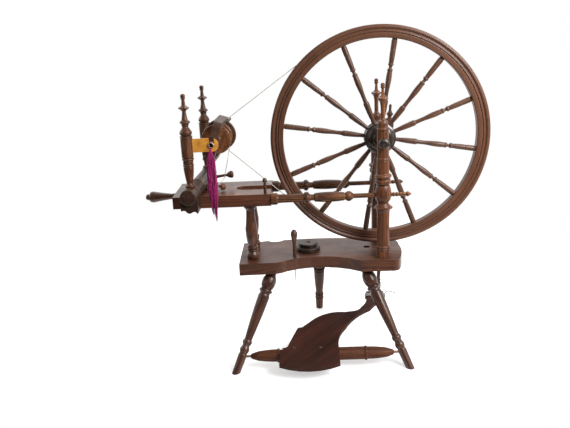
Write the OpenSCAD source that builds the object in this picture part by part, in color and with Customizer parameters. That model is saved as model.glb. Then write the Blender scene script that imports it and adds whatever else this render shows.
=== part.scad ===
// Norwegian spinning wheel: a treadle wheel with two tables, three legs and a flyer
// Millimetres, +Z up, the floor at Z = 0. The wheel turns about an axle along Y.
// Places are measured from the foot of the wheel's axis, and stand_x and stand_y
// then move the whole wheel so that the origin lies under the middle of its box.

/* [Stand] */
// Distance of the wheel's axis to the right of the origin
stand_x = 160; // [0:0.1:300]
// Distance of the wheel's plane behind the origin
stand_y = 0; // [-60:0.1:60]

/* [Bench] */
// Height of the bench's top above the floor
bench_h = 250; // [235:1:280]
// Thickness of the bench
bench_t = 29; // [24:1:36]
// Reach of the bench to the left of the axle
bench_left = 353; // [345:1:390]
// Reach of the bench to the right of the axle
bench_right = 51; // [44:1:80]
// Reach of the bench in front of the wheel's plane
bench_front = 91; // [86:1:120]
// Reach of the bench behind the wheel's plane
bench_back = 90; // [86:1:110]
// Depth of the hollow in the bench's front edge
waist_depth = 30; // [10:1:36]
// Radius of the spare peg hole in the bench
peg_hole_r = 8.5; // [5:0.5:12]

/* [Legs] */
// Distance of the front legs' sockets from the middle of the bench
leg_top_x = 113; // [100:1:130]
// Distance of the front legs' feet from the middle of the bench
leg_foot_x = 210; // [190:1:240]
// Distance of the front legs' sockets in front of the wheel's plane
leg_top_y = 55; // [45:1:64]
// Distance of the front legs' feet in front of the wheel's plane
leg_foot_y = 165; // [140:1:180]
// Distance of the back leg's socket behind the wheel's plane
back_top_y = 45; // [38:1:55]
// Distance of the back leg's foot behind the wheel's plane
back_foot_y = 206; // [180:1:230]
// Distance of the back leg to the right of the bench's middle
back_leg_x = 4; // [-10:1:10]
// Radius of a leg's tenon
leg_tenon_r = 11; // [8:0.5:12]
// Largest radius of a leg
leg_r = 17.4; // [15:0.1:20]

/* [Drive wheel] */
// Outer diameter of the drive wheel
wheel_d = 530; // [500:1:540]
// Radial width of the rim
rim_w = 31; // [26:1:38]
// Thickness of the rim along the axle
rim_t = 22; // [18:0.5:28]
// Height of the axle above the bench's top
axle_up = 283; // [280:1:310]
// Largest radius of the hub
hub_r = 37; // [28:0.5:40]
// Length of the hub along the axle
hub_len = 64; // [52:1:72]
// Largest radius of a spoke
spoke_r = 6.9; // [5:0.1:7.5]
// Radius of the tenons at a spoke's ends
spoke_tenon_r = 4; // [3:0.1:4.5]
// Turn of the first spoke above the horizontal
spoke_turn = 21; // [0:1:29]
// Radius of the axle
axle_r = 6; // [4:0.1:7]
// Throw of the crank
crank_r = 40; // [30:1:44]
// Turn of the crank above the horizontal
crank_turn = 25; // [10:1:40]
// Radius of the crank pin
crank_pin_r = 4.5; // [3.5:0.1:6]

/* [Wheel posts] */
// Distance of each wheel post from the wheel's plane
post_y = 64; // [60:1:66]
// Height of the wheel posts above the bench
post_len = 419; // [405:1:440]
// Radius of the post at the axle
post_r = 14; // [13:0.5:17]
// Wall of the bush that carries the axle
bush_wall = 2.5; // [1.5:0.1:3.5]

/* [Upper table] */
// Height of the table's top above the bench's top
table_up = 170; // [160:1:180]
// Thickness of the table
table_t = 29; // [26:1:34]
// Distance of the table's right end from the axle
table_near = 268; // [267:1:272]
// Length of the table
table_len = 236; // [232:1:250]
// Width of the table
table_w = 146; // [142:1:165]
// Length of the hollow cut into the table's right end
cut_len = 88; // [60:1:90]
// Width of the hollow cut into the table's right end
cut_w = 41; // [30:1:60]
// Distance of the table's front post from its right end
front_post_in = 53; // [40:1:60]
// Distance of the table's back post from its right end
back_post_in = 55; // [40:1:64]
// Distance of the table's posts from the middle of the table
table_post_y = 46; // [40:1:52]

/* [Mother-of-all] */
// Radius of the bar
moa_r = 18.5; // [17:0.5:20]
// Distance of the bar from the table's left end
moa_in = 61; // [58:1:64]
// Reach of the bar in front of the wheel's plane
moa_front = 158; // [154:1:170]
// Reach of the bar behind the wheel's plane
moa_back = 118; // [112:1:130]
// Turn of the bar from the axle's direction, seen from above
moa_turn = 3.2; // [0:0.1:4]
// Distance of the front maiden in front of the wheel's plane
maiden_front_y = 120; // [116:1:126]
// Distance of the back maiden behind the wheel's plane
maiden_back_y = 93; // [88:1:98]
// Height of the maidens above the table's top
maiden_up = 248; // [240:1:260]
// Travel of the bar each way along the table
moa_travel = 12; // [6:1:12]
// Radius of the tension screw
screw_r = 6; // [4.5:0.1:7]
// Length of the tension screw's handle
handle_len = 64; // [56:1:80]

/* [Flyer] */
// Distance of the flyer's axis to the right of the maidens
flyer_out = 58; // [56:1:62]
// Height of the flyer's axis above the table's top
flyer_up = 137; // [133:1:141]
// Turn of the flyer's axis from the axle's direction, seen from above
flyer_skew = 4; // [0:0.1:5]
// Rise of the flyer's axis towards the back
flyer_pitch = 2.5; // [0:0.1:3]
// Turn of the flyer to the right of upright
flyer_turn = 17; // [0:1:45]
// Distance of the flyer's arms from its axis, outside
flyer_r = 50; // [47:1:54]
// Clearance between the flyer's arms and the brake cord
arm_clear = 1.4; // [1:0.1:4]
// Width of the flyer's arms
arm_w = 21; // [16:1:24]
// Thickness of the flyer's arms
arm_t = 9; // [7:0.5:11]
// Radius of the flyer's spindle
spindle_r = 4; // [3:0.1:4.5]
// Radius of the orifice tube
orifice_r = 7; // [6.5:0.1:8]
// Radius of the orifice
orifice_bore_r = 4.6; // [3.5:0.1:5]
// Height of the leather bearings
leather_w = 31; // [28:1:36]
// Thickness of the leather bearings
leather_t = 5; // [3:0.5:6]
// Radius of the bobbin's front flange
bobbin_r = 35; // [32:0.5:37]
// Radius of the whorl's large disc
whorl_r = 38; // [36:0.5:41]
// Radius at the bottom of the whorl's driven groove
whorl_groove_r = 18; // [15:0.5:22]

/* [Treadle] */
// Height of the treadle's pivot above the floor
treadle_h = 34; // [32:1:42]
// Slope of the treadle
treadle_tilt = 12; // [9:0.5:14]
// Radius of the treadle bar
treadle_bar_r = 15.5; // [13:0.5:17]
// Radius of the treadle's iron pivots
treadle_pin_r = 3; // [2:0.1:4]
// Thickness of the treadle board
board_t = 10; // [8:0.5:12]
// Clearance between the tip of the treadle's arm and the footman
arm_gap = 4.4; // [3:0.1:8]

/* [Cords and clearances] */
// Radius of the drive band
band_r = 1.2; // [0.8:0.1:1.5]
// Radius of the brake cord
brake_cord_r = 0.9; // [0.6:0.1:1.2]
// Radial clearance of a running fit
run_gap = 0.05; // [0.02:0.01:0.1]
// Radial clearance of a tenon in its socket
seat_gap = 0.05; // [0.02:0.01:0.1]
// Clearance between pieces that pass each other
pass_gap = 0.3; // [0.2:0.05:0.6]

/* [Hidden] */
$fn = 64;

// Colours of the finishes
walnut = [0.40, 0.21, 0.14];
dark_walnut = [0.26, 0.15, 0.11];
iron = [0.20, 0.19, 0.19];
tan_leather = [0.80, 0.55, 0.20];
cord_white = [0.82, 0.80, 0.72];
purple_wool = [0.49, 0.12, 0.37];

// Levels and places that follow from the sizes above
bench_mid = -159;
bench_low = bench_h - bench_t;
axle_z = bench_h + axle_up;
table_z = bench_h + table_up;
table_mid_z = table_z - table_t / 2;
table_right = -table_near;
table_left = table_right - table_len;
wheel_r = wheel_d / 2;
rim_in = wheel_r - rim_w;
groove_depth = 8;
groove_r = wheel_r - groove_depth;
rail_y = post_y;
rail_z = table_mid_z;
rail_r = 5.5;
rail_end = 67;
moa_x = table_left + moa_in;
moa_z = table_z + moa_r + pass_gap;
maiden_seat = 11.5;
maiden_foot = moa_z + maiden_seat;
maiden_top = table_z + maiden_up;
maiden_r = 14.2;
flyer_x = moa_x + flyer_out;
flyer_z = table_z + flyer_up;
spoke_count = 12;

// The flyer's axis: the point on it at y, and a place measured along it from the wheel's plane
function line_at(y) = [flyer_x + y * tan(flyer_skew), y, flyer_z + y * tan(flyer_pitch) / cos(flyer_skew)];
function on_line(p) =
    let (y = p.y * cos(flyer_pitch) - p.z * sin(flyer_pitch))
    let (z = p.y * sin(flyer_pitch) + p.z * cos(flyer_pitch))
    [flyer_x + p.x * cos(flyer_skew) + y * sin(flyer_skew),
     y * cos(flyer_skew) - p.x * sin(flyer_skew), flyer_z + z];
module flyer_line() translate([flyer_x, 0, flyer_z]) rotate([flyer_pitch, 0, -flyer_skew]) children();

// Shares of the drive wheel
felloe_count = 4;
tenon_in = 11;
hub_seat_r = hub_r - 1.5;

// An arc from a to b whose middle stands s to the right of the way from a to b
function bow(a, b, s, n = 6) =
    s == 0 ? [b] :
    let (c = norm(b - a), u = (b - a) / c, v = [u.y, -u.x], h = abs(s))
    let (rad = (c * c / 4 + h * h) / (2 * h), half = asin(min(1, c / 2 / rad)))
    [for (i = [1:n]) let (t = half * (2 * i / n - 1))
        a + u * (c / 2 + rad * sin(t)) + v * sign(s) * (rad * cos(t) - rad + h)];

// A turned outline from rows of [height, radius, bulge]: a bead bulges out, a cove in
function turned(rows) = [for (i = [0:len(rows) - 1])
    let (b = [rows[i][1], rows[i][0]], s = is_undef(rows[i][2]) ? 0 : rows[i][2])
    for (p = i == 0 ? [b] : bow([rows[i - 1][1], rows[i - 1][0]], b, s)) p];

// An outline in the plane from rows of [x, y, bulge]
function drawn(rows) = [for (i = [0:len(rows) - 1])
    let (b = [rows[i][0], rows[i][1]], s = is_undef(rows[i][2]) ? 0 : rows[i][2])
    for (p = i == 0 ? [b] : bow([rows[i - 1][0], rows[i - 1][1]], b, s)) p];

// A solid turned about Z, and one turned about the line from a to b
module lathe(rows) {
    last = len(rows) - 1;
    foot = rows[0][1] > 0 ? [[0, rows[0][0]]] : [];
    head = rows[last][1] > 0 ? [[0, rows[last][0]]] : [];
    rotate_extrude() polygon(concat(foot, turned(rows), head));
}
module along(a, b) {
    d = b - a;
    translate(a) rotate([0, acos(d.z / norm(d)), atan2(d.y, d.x)]) children();
}
module rod(a, b, r) along(a, b) cylinder(r = r, h = norm(b - a));

// A bead of height h and radius r that starts at height z on a neck of radius n
function bead(z, h, r, n) = [[z, n], [z + h, n, min(r - n, h / 2)]];
// A ring with flat edges
function ring(z, h, r) = [[z, r], [z + h, r]];

// A round tube swept along points, flat in the plane across the vector side
function tube_ring(p, t, side, r, n) =
    let (u = cross(t, side) / norm(cross(t, side)), w = cross(u, t))
    [for (k = [0:n - 1]) p + r * (cos(360 * k / n) * u + sin(360 * k / n) * w)];
module tube(path, r, side, closed = false, n = 8) {
    m = len(path);
    dirs = [for (i = [0:m - 1])
        let (a = path[closed ? (i + m - 1) % m : max(0, i - 1)])
        let (b = path[closed ? (i + 1) % m : min(m - 1, i + 1)])
        (b - a) / norm(b - a)];
    points = [for (i = [0:m - 1]) for (q = tube_ring(path[i], dirs[i], side, r, n)) q];
    last = closed ? m - 1 : m - 2;
    walls = [for (i = [0:last]) for (k = [0:n - 1])
        let (a = i * n + k, b = i * n + (k + 1) % n)
        let (c = ((i + 1) % m) * n + k, d = ((i + 1) % m) * n + (k + 1) % n)
        for (f = [[a, b, c], [b, d, c]]) f];
    caps = closed ? [] : concat(
        [for (k = [1:n - 2]) [0, k + 1, k]],
        [for (k = [1:n - 2]) [(m - 1) * n, (m - 1) * n + k, (m - 1) * n + k + 1]]);
    polyhedron(points, concat(walls, caps));
}

// Everything is placed from the foot of the wheel's axis
module placed() translate([stand_x, stand_y, 0]) children();

// Legs: a foot on the floor and a socket in the bench's underside
leg_feet = [
    [bench_mid - leg_foot_x, -leg_foot_y, 0],
    [bench_mid + leg_foot_x, -leg_foot_y, 0],
    [bench_mid + back_leg_x, back_foot_y, 0]
];
leg_tops = [
    [bench_mid - leg_top_x, -leg_top_y, bench_low],
    [bench_mid + leg_top_x, -leg_top_y, bench_low],
    [bench_mid + back_leg_x, back_top_y, bench_low]
];
leg_tenon_len = bench_t * 0.8;
foot_r = 9.8;
function leg_rows(len) = concat(
    [[-12, foot_r - 0.4], [46, foot_r + 1], [49, foot_r - 0.2, -0.4]],
    bead(51, 15, foot_r + 2, foot_r),
    [[69, foot_r - 1]],
    bead(71, 13, foot_r + 2, foot_r - 0.4),
    [[88, foot_r - 0.4], [len - 68, leg_r - 3, 0.8], [len - 61, leg_r - 5, -0.6]],
    bead(len - 59, 8, leg_r - 0.8, leg_r - 3.4),
    [[len - 50, leg_r - 4.4], [len - 15, leg_tenon_r + 1.5, leg_r - leg_tenon_r - 1.7]],
    [[len - 12, leg_tenon_r], [len + leg_tenon_len, leg_tenon_r]]
);
module leg(i) {
    color(walnut)
    difference() {
        along(leg_feet[i], leg_tops[i]) rotate(65)
            lathe(leg_rows(norm(leg_tops[i] - leg_feet[i])));
        translate(leg_feet[i] + [-50, -50, -40]) cube([100, 100, 40]);
        if (i < 2) treadle_pin(i, seat_gap);
    }
}
module leg_socket(i) {
    axis = leg_tops[i] - leg_feet[i];
    u = axis / norm(axis);
    foot = leg_tops[i] - u * leg_r;
    along(foot, leg_tops[i]) rotate(50)
        cylinder(r = leg_tenon_r + pass_gap, h = leg_r + leg_tenon_len + pass_gap);
}

// Bench: a board with a hollow front edge, a rounded right end and a nick behind
bench_rows = [
    [-bench_left, 3 - bench_front],
    [-266, 6 - bench_front],
    [-238, 21 - bench_front, 2.5],
    [-56, 1 - bench_front, -waist_depth],
    [16, -bench_front],
    [bench_right - 12, 12 - bench_front, 5],
    [bench_right - 1, 24, 6],
    [18, bench_back - 6, 12],
    [-64, bench_back - 3],
    [-248, bench_back, 7],
    [-262, bench_back - 11, -2],
    [-277, bench_back - 11],
    [-287, bench_back - 2, -2],
    [-bench_left, bench_back - 16]
];
hook_at = [-217, -44];
hook_hole_r = 3.4;
peg_hole_at = [-33, 11];
post_tenon_r = 9;
post_tenon_len = bench_t * 0.8;
table_post_r = 15;
table_post_at = [[table_right - front_post_in, -table_post_y], [table_right - back_post_in, table_post_y]];
table_tenon_r = 8;
table_tenon_len = table_t * 0.5;
module bench() {
    color(walnut)
    difference() {
        translate([0, 0, bench_low]) linear_extrude(bench_t) polygon(drawn(bench_rows));
        for (i = [0:2]) leg_socket(i);
        for (s = [-1, 1]) {
            translate([0, s * post_y, bench_h - post_tenon_len - seat_gap])
                cylinder(r = post_tenon_r + seat_gap, h = bench_t);
        }
        for (at = table_post_at) translate([at.x, at.y, bench_h - table_tenon_len - seat_gap])
            cylinder(r = table_tenon_r + seat_gap, h = bench_t);
        translate([peg_hole_at.x, peg_hole_at.y, bench_low - 1]) cylinder(r = peg_hole_r, h = bench_t + 2);
        translate([hook_at.x, hook_at.y, bench_low - 1]) cylinder(r = hook_hole_r, h = bench_t + 2);
    }
}

// Wheel posts: turned, with a boss for the rail, a drum for the axle and a finial
rail_boss_z = rail_z - bench_h;
post_rows = concat(
    [[-post_tenon_len, post_tenon_r], [0, post_tenon_r]],
    [[0, 18.6], [3, 18.4], [17, 17, -0.3], [18, 16]],
    bead(18.5, 4, 17.6, 16),
    [[23.5, 15.6]],
    bead(24, 5, 17.6, 15.6),
    [[30, 15.2], [rail_boss_z - 42, 15.4, -0.4], [rail_boss_z - 37, 16.6]],
    [[rail_boss_z - 32, 22.4, -1], [rail_boss_z - 30, 22.4], [rail_boss_z - 25, 16.5, -1]],
    [[rail_boss_z - 18, 13, -1], [rail_boss_z - 11, 17.5], [rail_boss_z + 24, 15.4, 3]],
    [[rail_boss_z + 27, 13.4, -0.6], [rail_boss_z + 28, 17.6]],
    [[rail_boss_z + 38, 17.6, 1], [rail_boss_z + 40, 15.5], [rail_boss_z + 43, 18.6]],
    [[rail_boss_z + 50, 18.6, 1.6], [rail_boss_z + 53, post_r + 0.6, -1]],
    [[axle_up - 44, post_r + 0.6]],
    bead(axle_up - 43, 6, post_r + 1.6, post_r),
    [[axle_up - 33, post_r], [axle_up + 25, post_r]],
    bead(axle_up + 26, 8, post_r + 0.4, post_r - 2),
    [[axle_up + 38, post_r - 2.2], [axle_up + 50, 10.4, 1.4], [axle_up + 56, 5, -1.6]],
    [[post_len - 62, 5], [post_len - 45, 6.6, -0.5], [post_len - 37, 12.4, -0.8]],
    [[post_len - 34, 12.4, 0.5], [post_len - 27, 3.8, -0.8], [post_len - 13, 3]],
    [[post_len - 12, 4.4], [post_len - 8, 4.8, 0.5], [post_len - 7.4, 4], [post_len - 6, 4.8]],
    [[post_len - 2, 4.2, 0.6], [post_len, 0, 0.8]]
);
module wheel_post(s) {
    color(walnut)
    translate([0, s * post_y, bench_h])
    difference() {
        lathe(post_rows);
        translate([0, 30, axle_up]) rotate([90, 0, 0]) cylinder(r = axle_r + run_gap + bush_wall, h = 60);
        translate([-40, 0, rail_boss_z]) rotate([0, 90, 0]) cylinder(r = rail_r + seat_gap, h = 80);
    }
}
bush_len = 24;
module axle_bushes() {
    color([0.55, 0.40, 0.22])
    for (s = [-1, 1]) translate([0, s * post_y + bush_len / 2, axle_z]) rotate([90, 0, 0])
        difference() {
            cylinder(r = axle_r + run_gap + bush_wall - seat_gap, h = bush_len);
            translate([0, 0, -1]) cylinder(r = axle_r + run_gap, h = bush_len + 2);
        }
}

// Upper table: hollowed at its right end for the wheel, slotted for the bar's tongue
tongue_w = 28;
tongue_len = 32;
slot_spare = 2;
slot_len = tongue_len + 2 * (moa_travel + slot_spare);
rail_tenon_r = 6.5;
rail_tenon_len = 18;
rail_peg_r = 3.8;
rail_peg_in = 13;
rail_peg_deep = 6;
module upper_table() {
    color(walnut)
    difference() {
        translate([table_left, -table_w / 2, table_z - table_t]) cube([table_len, table_w, table_t]);
        translate([0, 0, table_z - table_t - 1]) linear_extrude(table_t + 2) union() {
            translate([table_right - cut_len + cut_w / 2, 0]) circle(cut_w / 2);
            translate([table_right - cut_len + cut_w / 2, -cut_w / 2]) square([cut_len, cut_w]);
        }
        translate([moa_x - slot_len / 2, -tongue_w / 2 - pass_gap, table_z - table_t - 1])
            cube([slot_len, tongue_w + 2 * pass_gap, table_t + 2]);
        rod([table_left - 1, 0, table_mid_z], [moa_x, 0, table_mid_z], screw_r + run_gap);
        for (s = [-1, 1]) {
            rod([table_right - rail_tenon_len - seat_gap, s * rail_y, rail_z],
                [table_right + 1, s * rail_y, rail_z], rail_tenon_r + seat_gap);
        }
        for (at = table_post_at) translate([at.x, at.y, table_z - table_t - 1])
            cylinder(r = table_tenon_r + seat_gap, h = 1 + table_tenon_len + seat_gap);
        translate([table_right - rail_peg_in, -rail_y, table_z - rail_peg_deep])
            cylinder(r = rail_peg_r + seat_gap, h = rail_peg_deep + 1);
    }
}

// Short turned posts between the bench and the table
table_post_len = table_up - table_t;
table_post_rows = concat(
    [[-table_tenon_len, table_tenon_r], [0, table_tenon_r], [0, 12.5]],
    [[17, 12.5, 3], [20, 11]],
    bead(21, 5, 14.4, 11.6),
    bead(27, 6, 14.6, 11.6),
    [[36, 11], [table_post_len - 74, 14.6, 0.8], [table_post_len - 60, 14.6, 0.4]],
    [[table_post_len - 16, 10.6, -0.8], [table_post_len - 12, 12]],
    [[table_post_len - 9, table_post_r], [table_post_len, table_post_r, 0.6]],
    [[table_post_len, table_tenon_r], [table_post_len + table_tenon_len, table_tenon_r]]
);
module table_post(i) {
    color(walnut) translate([table_post_at[i].x, table_post_at[i].y, bench_h]) lathe(table_post_rows);
}

// Rails: turned from the table to beyond the wheel posts, with beaded tips
rail_bead_pitch = 8;
rail_rows = concat(
    [[-rail_tenon_len, rail_tenon_r], [0, rail_tenon_r], [0, 13], [2, 14.2, 0.4], [14, 14.2]],
    [[20, 10.4, -1], [table_near - 190, 10.2, -0.3]],
    [[table_near - 187, 13.2, -0.5], [table_near - 178, 13.2, 1], [table_near - 172, 7.4, -1.2]],
    [[table_near - 165, 7.4], [table_near - 162, 10.4, 0.6], [table_near - 94, 10, 2]],
    [[table_near - 90, 8.6, -0.4]],
    bead(table_near - 89, 14, 12.2, 9),
    [[table_near - 70, rail_r]],
    [[table_near + 20, rail_r], [table_near + 20, 4.2]],
    [for (k = [0:3]) for (p = bead(table_near + 22 + k * rail_bead_pitch, 6, 5.2, 4)) p],
    [[table_near + rail_end - 12, 4], [table_near + rail_end - 10, 6, 0.3]],
    [[table_near + rail_end - 6, 5, 0.6], [table_near + rail_end - 1, 2], [table_near + rail_end, 0, 0.3]]
);
module rail(s) {
    color(walnut) translate([table_right, s * rail_y, rail_z]) rotate([0, 90, 0]) lathe(rail_rows);
}
rail_peg_len = 38;
module rail_peg() {
    color(dark_walnut) translate([table_right - rail_peg_in, -rail_y, table_z])
        lathe(concat(
            [[-rail_peg_deep, rail_peg_r], [0, rail_peg_r], [rail_peg_len - 12, rail_peg_r - 0.4]],
            [[rail_peg_len - 11, rail_peg_r - 1.2], [rail_peg_len - 10, rail_peg_r + 1]],
            [[rail_peg_len - 3, rail_peg_r + 1, 0.8], [rail_peg_len, 0, 1]]
        ));
}

// Tension screw: a turned handle at the table's left end on a plain stem
collar_len = 12;
screw_in = moa_x + slot_len / 2 - slot_spare - table_left;
module tension_screw() {
    color(walnut)
    translate([table_left - pass_gap, 0, table_mid_z]) rotate([0, -90, 0]) lathe(concat(
        [[-screw_in, screw_r - 1], [1 - screw_in, screw_r], [0, screw_r], [0, 10.4]],
        [[collar_len - 2, 7.2, -0.6], [collar_len + 1, 6.8]],
        [[handle_len + collar_len - 20, 13.2, -0.5], [handle_len + collar_len - 13, 13.6, 0.5]],
        [[handle_len + collar_len - 5, 8.6, 1.6], [handle_len + collar_len - 4, 7.2]],
        [[handle_len + collar_len + 2, 6.6, 0.6], [handle_len + collar_len + 4, 0, 1]]
    ));
}

// Mother-of-all: a grooved bar across the table that carries the maidens
maiden_base_r = 13.8;
maiden_base_bulge = 0.6;
maiden_tenon_r = 8;
maiden_tenon_len = 20;
mortise_top = moa_z - moa_r + 8;
groove_pitch = 11;
peg_r = 3.6;
peg_deep = 9;
brake_peg_y = 40;
brake_peg_tilt = 7;
anchor_y = -22;
anchor_tilt = -8;
moa_rows = concat(
    [[-moa_front, moa_r - 3], [3 - moa_front, moa_r, 0.9], [20 - moa_front, moa_r]],
    [[60 - moa_front, moa_r], [62 - moa_front, moa_r - 2.5]],
    [for (k = [0:3]) for (p = bead(63 + groove_pitch * k - moa_front, groove_pitch - 3, moa_r - 0.6,
        moa_r - 2.5)) p],
    [[110 - moa_front, moa_r - 2.5], [112 - moa_front, moa_r], [moa_back - 62, moa_r]],
    [[moa_back - 60, moa_r - 2], [moa_back - 56, moa_r - 2], [moa_back - 54, moa_r]],
    [[moa_back - 3, moa_r], [moa_back, moa_r - 3, 0.9]]
);
function bar_x(y) = moa_x + y * tan(moa_turn);
module moa_axis() translate([moa_x, 0, moa_z]) rotate([0, 0, -moa_turn]) rotate([-90, 0, 0]) children();
module radial_peg(y, tilt) translate([bar_x(y), y, moa_z]) rotate([0, 90 - tilt, 0]) children();
module mother_of_all() {
    color(dark_walnut)
    difference() {
        moa_axis() lathe(moa_rows);
        for (y = [-maiden_front_y, maiden_back_y]) translate([bar_x(y), y, 0]) {
            translate([0, 0, maiden_foot])
                cylinder(r = maiden_base_r + maiden_base_bulge + seat_gap, h = moa_r);
            translate([0, 0, maiden_foot - maiden_tenon_len - seat_gap])
                cylinder(r = maiden_tenon_r + seat_gap, h = moa_r + maiden_tenon_len);
        }
        translate([moa_x - tongue_len / 2 - seat_gap, -tongue_w / 2 - seat_gap, moa_z - moa_r - 1])
            cube([tongue_len + 2 * seat_gap, tongue_w + 2 * seat_gap, mortise_top - moa_z + moa_r + 1]);
        radial_peg(brake_peg_y, brake_peg_tilt) translate([0, 0, moa_r - peg_deep - pass_gap])
            cylinder(r = peg_r + run_gap, h = moa_r);
        radial_peg(anchor_y, anchor_tilt) translate([0, 0, moa_r - peg_deep - seat_gap])
            cylinder(r = peg_r + seat_gap, h = moa_r);
    }
}
tongue_drop = 8;
module moa_tongue() {
    color(dark_walnut)
    difference() {
        translate([moa_x - tongue_len / 2, -tongue_w / 2, table_z - table_t - tongue_drop])
            cube([tongue_len, tongue_w, mortise_top - table_z + table_t + tongue_drop]);
        rod([moa_x - tongue_len, 0, table_mid_z], [moa_x + tongue_len, 0, table_mid_z], screw_r + run_gap);
    }
}
bracket_len = 40;
bracket_drop = 22;
bracket_w = 40;
module moa_bracket() {
    half = bracket_w / 2;
    color(dark_walnut)
    difference() {
        translate([bar_x(10 - moa_front), 10 - moa_front, moa_z]) rotate([90, 0, 180]) mirror([0, 0, 1])
            translate([0, 0, -bracket_len]) linear_extrude(bracket_len) polygon(drawn([
                [-half, -8],
                [-half, -moa_r - bracket_drop + 2],
                [2 - half, -moa_r - bracket_drop],
                [-half / 3, -moa_r - bracket_drop + 4, -3],
                [half / 3, -moa_r - bracket_drop + 4, 2.5],
                [half - 2, -moa_r - bracket_drop + 7, -3],
                [half, -moa_r - bracket_drop + 9],
                [half, -8]
            ]));
        moa_axis() cylinder(r = moa_r + seat_gap, h = 4 * moa_front, center = true);
    }
}

// Maidens: turned uprights, each with a mortise for its leather bearing
maiden_h = maiden_top - maiden_foot;
leather_h = flyer_z - maiden_foot;
maiden_rows = concat(
    [[-maiden_tenon_len, maiden_tenon_r], [0, maiden_tenon_r], [0, maiden_base_r]],
    [[4, maiden_base_r, maiden_base_bulge], [5, 11.6]],
    bead(6, 5, 12.6, 10.6),
    [[12, 9], [18, 7.8, -0.6], [leather_h - 54, 12, 0.5], [leather_h - 53, 11.4]],
    bead(leather_h - 52, 4, 12.8, 11.6),
    [[leather_h - 47, 11.6], [leather_h - 40, 12.2], [leather_h - 38.5, 11]],
    bead(leather_h - 38, 5, 14, 12),
    [[leather_h - 32, 12], [leather_h - 31, maiden_r - 0.8], [leather_h + 13, maiden_r - 0.4]],
    [[leather_h + 14, maiden_r - 1.4], [leather_h + 15, maiden_r], [leather_h + 17, maiden_r, 0.4]],
    [[leather_h + 18, 10.4], [leather_h + 26, 14.2, 1.2], [leather_h + 37, 7.4, 0.2]],
    [[leather_h + 39, 7]],
    bead(leather_h + 40, 4, 8.6, 7.2),
    [[leather_h + 48, 12.2, 0.6], [leather_h + 53, 7.4, 0.8]],
    [[maiden_h - 38, 4.4, -0.4], [maiden_h - 31.5, 12.6, -0.3], [maiden_h - 30, 12.6]],
    [[maiden_h - 25, 4.6, -0.3], [maiden_h - 12, 3.6]],
    [[maiden_h - 11, 5], [maiden_h - 8, 5.2, 0.3], [maiden_h - 7.2, 4.2], [maiden_h - 6, 5.4]],
    [[maiden_h - 2, 4.8, 0.6], [maiden_h, 0, 1]]
);
scribe_depth = 0.5;
scribe_at = [-27, -24, -12, -9, 8, 10];
module maiden(y, strap) {
    color(walnut)
    translate([bar_x(y), y, maiden_foot])
    difference() {
        lathe(maiden_rows);
        for (h = scribe_at) translate([0, 0, leather_h + h]) rotate_extrude()
            polygon([[maiden_r - 0.6 - scribe_depth, 0], [maiden_r + 1, -1.4], [maiden_r + 1, 1.4]]);
        translate([-maiden_r / 2 - seat_gap, -leather_t / 2 - seat_gap, 0])
            translate([0, 0, line_at(y).z - maiden_foot - strap / 2 - seat_gap])
            cube([2 * maiden_r, leather_t + 2 * seat_gap, strap + 2 * seat_gap]);
    }
}

// Leather bearings: straps with a rounded end, a round eye and a slit to lift the flyer out
notch_share = 0.9;
leather_back_w = leather_w - 7;
module leather(y, w, eye_r, slit) {
    at = line_at(y);
    reach = at.x - bar_x(y) + maiden_r / 2;
    color(tan_leather)
    difference() {
        translate([at.x, y + leather_t / 2, at.z]) rotate([90, 0, 0]) linear_extrude(leather_t) union() {
            circle(w / 2);
            translate([-reach, -w / 2]) square([reach, w]);
        }
        flyer_line() rotate([90, 0, 0]) cylinder(r = eye_r, h = 4 * moa_front, center = true);
        if (slit) translate([at.x - eye_r * notch_share, y - leather_t, at.z])
            cube([2 * eye_r * notch_share, 2 * leather_t, w]);
    }
}
module leather_front() leather(-maiden_front_y, leather_w, orifice_r + run_gap, true);
module leather_back() leather(maiden_back_y, leather_back_w, spindle_r + run_gap, false);

// Flyer: a wooden U turned about its spindle, with hooks along both arms
yoke_t = 13;
whorl_front = -8.5;
bobbin_back = whorl_front - 0.8;
brake_groove_y = bobbin_back - 4;
yoke_front = leather_t / 2 + 7.5 - maiden_front_y;
yoke_back = yoke_front + yoke_t;
yoke_boss_r = 15;
module flyer_frame() flyer_line() rotate([0, flyer_turn, 0]) children();
arm_end = brake_groove_y - brake_cord_r - arm_clear;
module flyer_arms() {
    inner = flyer_r - arm_t;
    half = concat(
        [[0, yoke_front], [yoke_boss_r, yoke_front]],
        bow([yoke_boss_r, yoke_front], [flyer_r - 12, yoke_front + 6], -2),
        bow([flyer_r - 12, yoke_front + 6], [flyer_r, yoke_front + 22], 3.5),
        [[flyer_r, arm_end - 6]],
        bow([flyer_r, arm_end - 6], [inner + 2, arm_end], 2),
        [[inner, arm_end - 3], [inner, yoke_front + 26]],
        bow([inner, yoke_front + 26], [inner - 12, yoke_back + 3], -3),
        [[yoke_boss_r, yoke_back], [0, yoke_back]]
    );
    mirrored = [for (i = [len(half) - 2:-1:1]) [-half[i].x, half[i].y]];
    color(dark_walnut)
    flyer_frame() difference() {
        rotate([0, 90, 0]) translate([0, 0, -arm_w / 2])
            linear_extrude(arm_w) polygon(concat(half, mirrored));
        translate([0, yoke_front - 1, 0]) rotate([-90, 0, 0])
            cylinder(r = orifice_r + seat_gap, h = yoke_t + 2);
        for (s = [-1, 1]) for (k = [0:hook_count - 1]) hook_stem(s, k, seat_gap);
    }
}
hook_count = 6;
hook_wire_r = 0.9;
hook_pitch = 10.5;
hook_bend_r = 3;
hook_len = 5;
hook_set = 4;
hook_z = flyer_r - arm_t / 2;
function hook_y(k) = yoke_front + 30 + hook_pitch * k;
module hook_stem(s, k, gap)
    translate([s * (arm_w + hook_len - hook_set) / 2, hook_y(k), s * hook_z]) rotate([0, 90, 0])
        cylinder(r = hook_wire_r + gap, h = hook_len + hook_set + 2 * gap, center = true);
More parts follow.
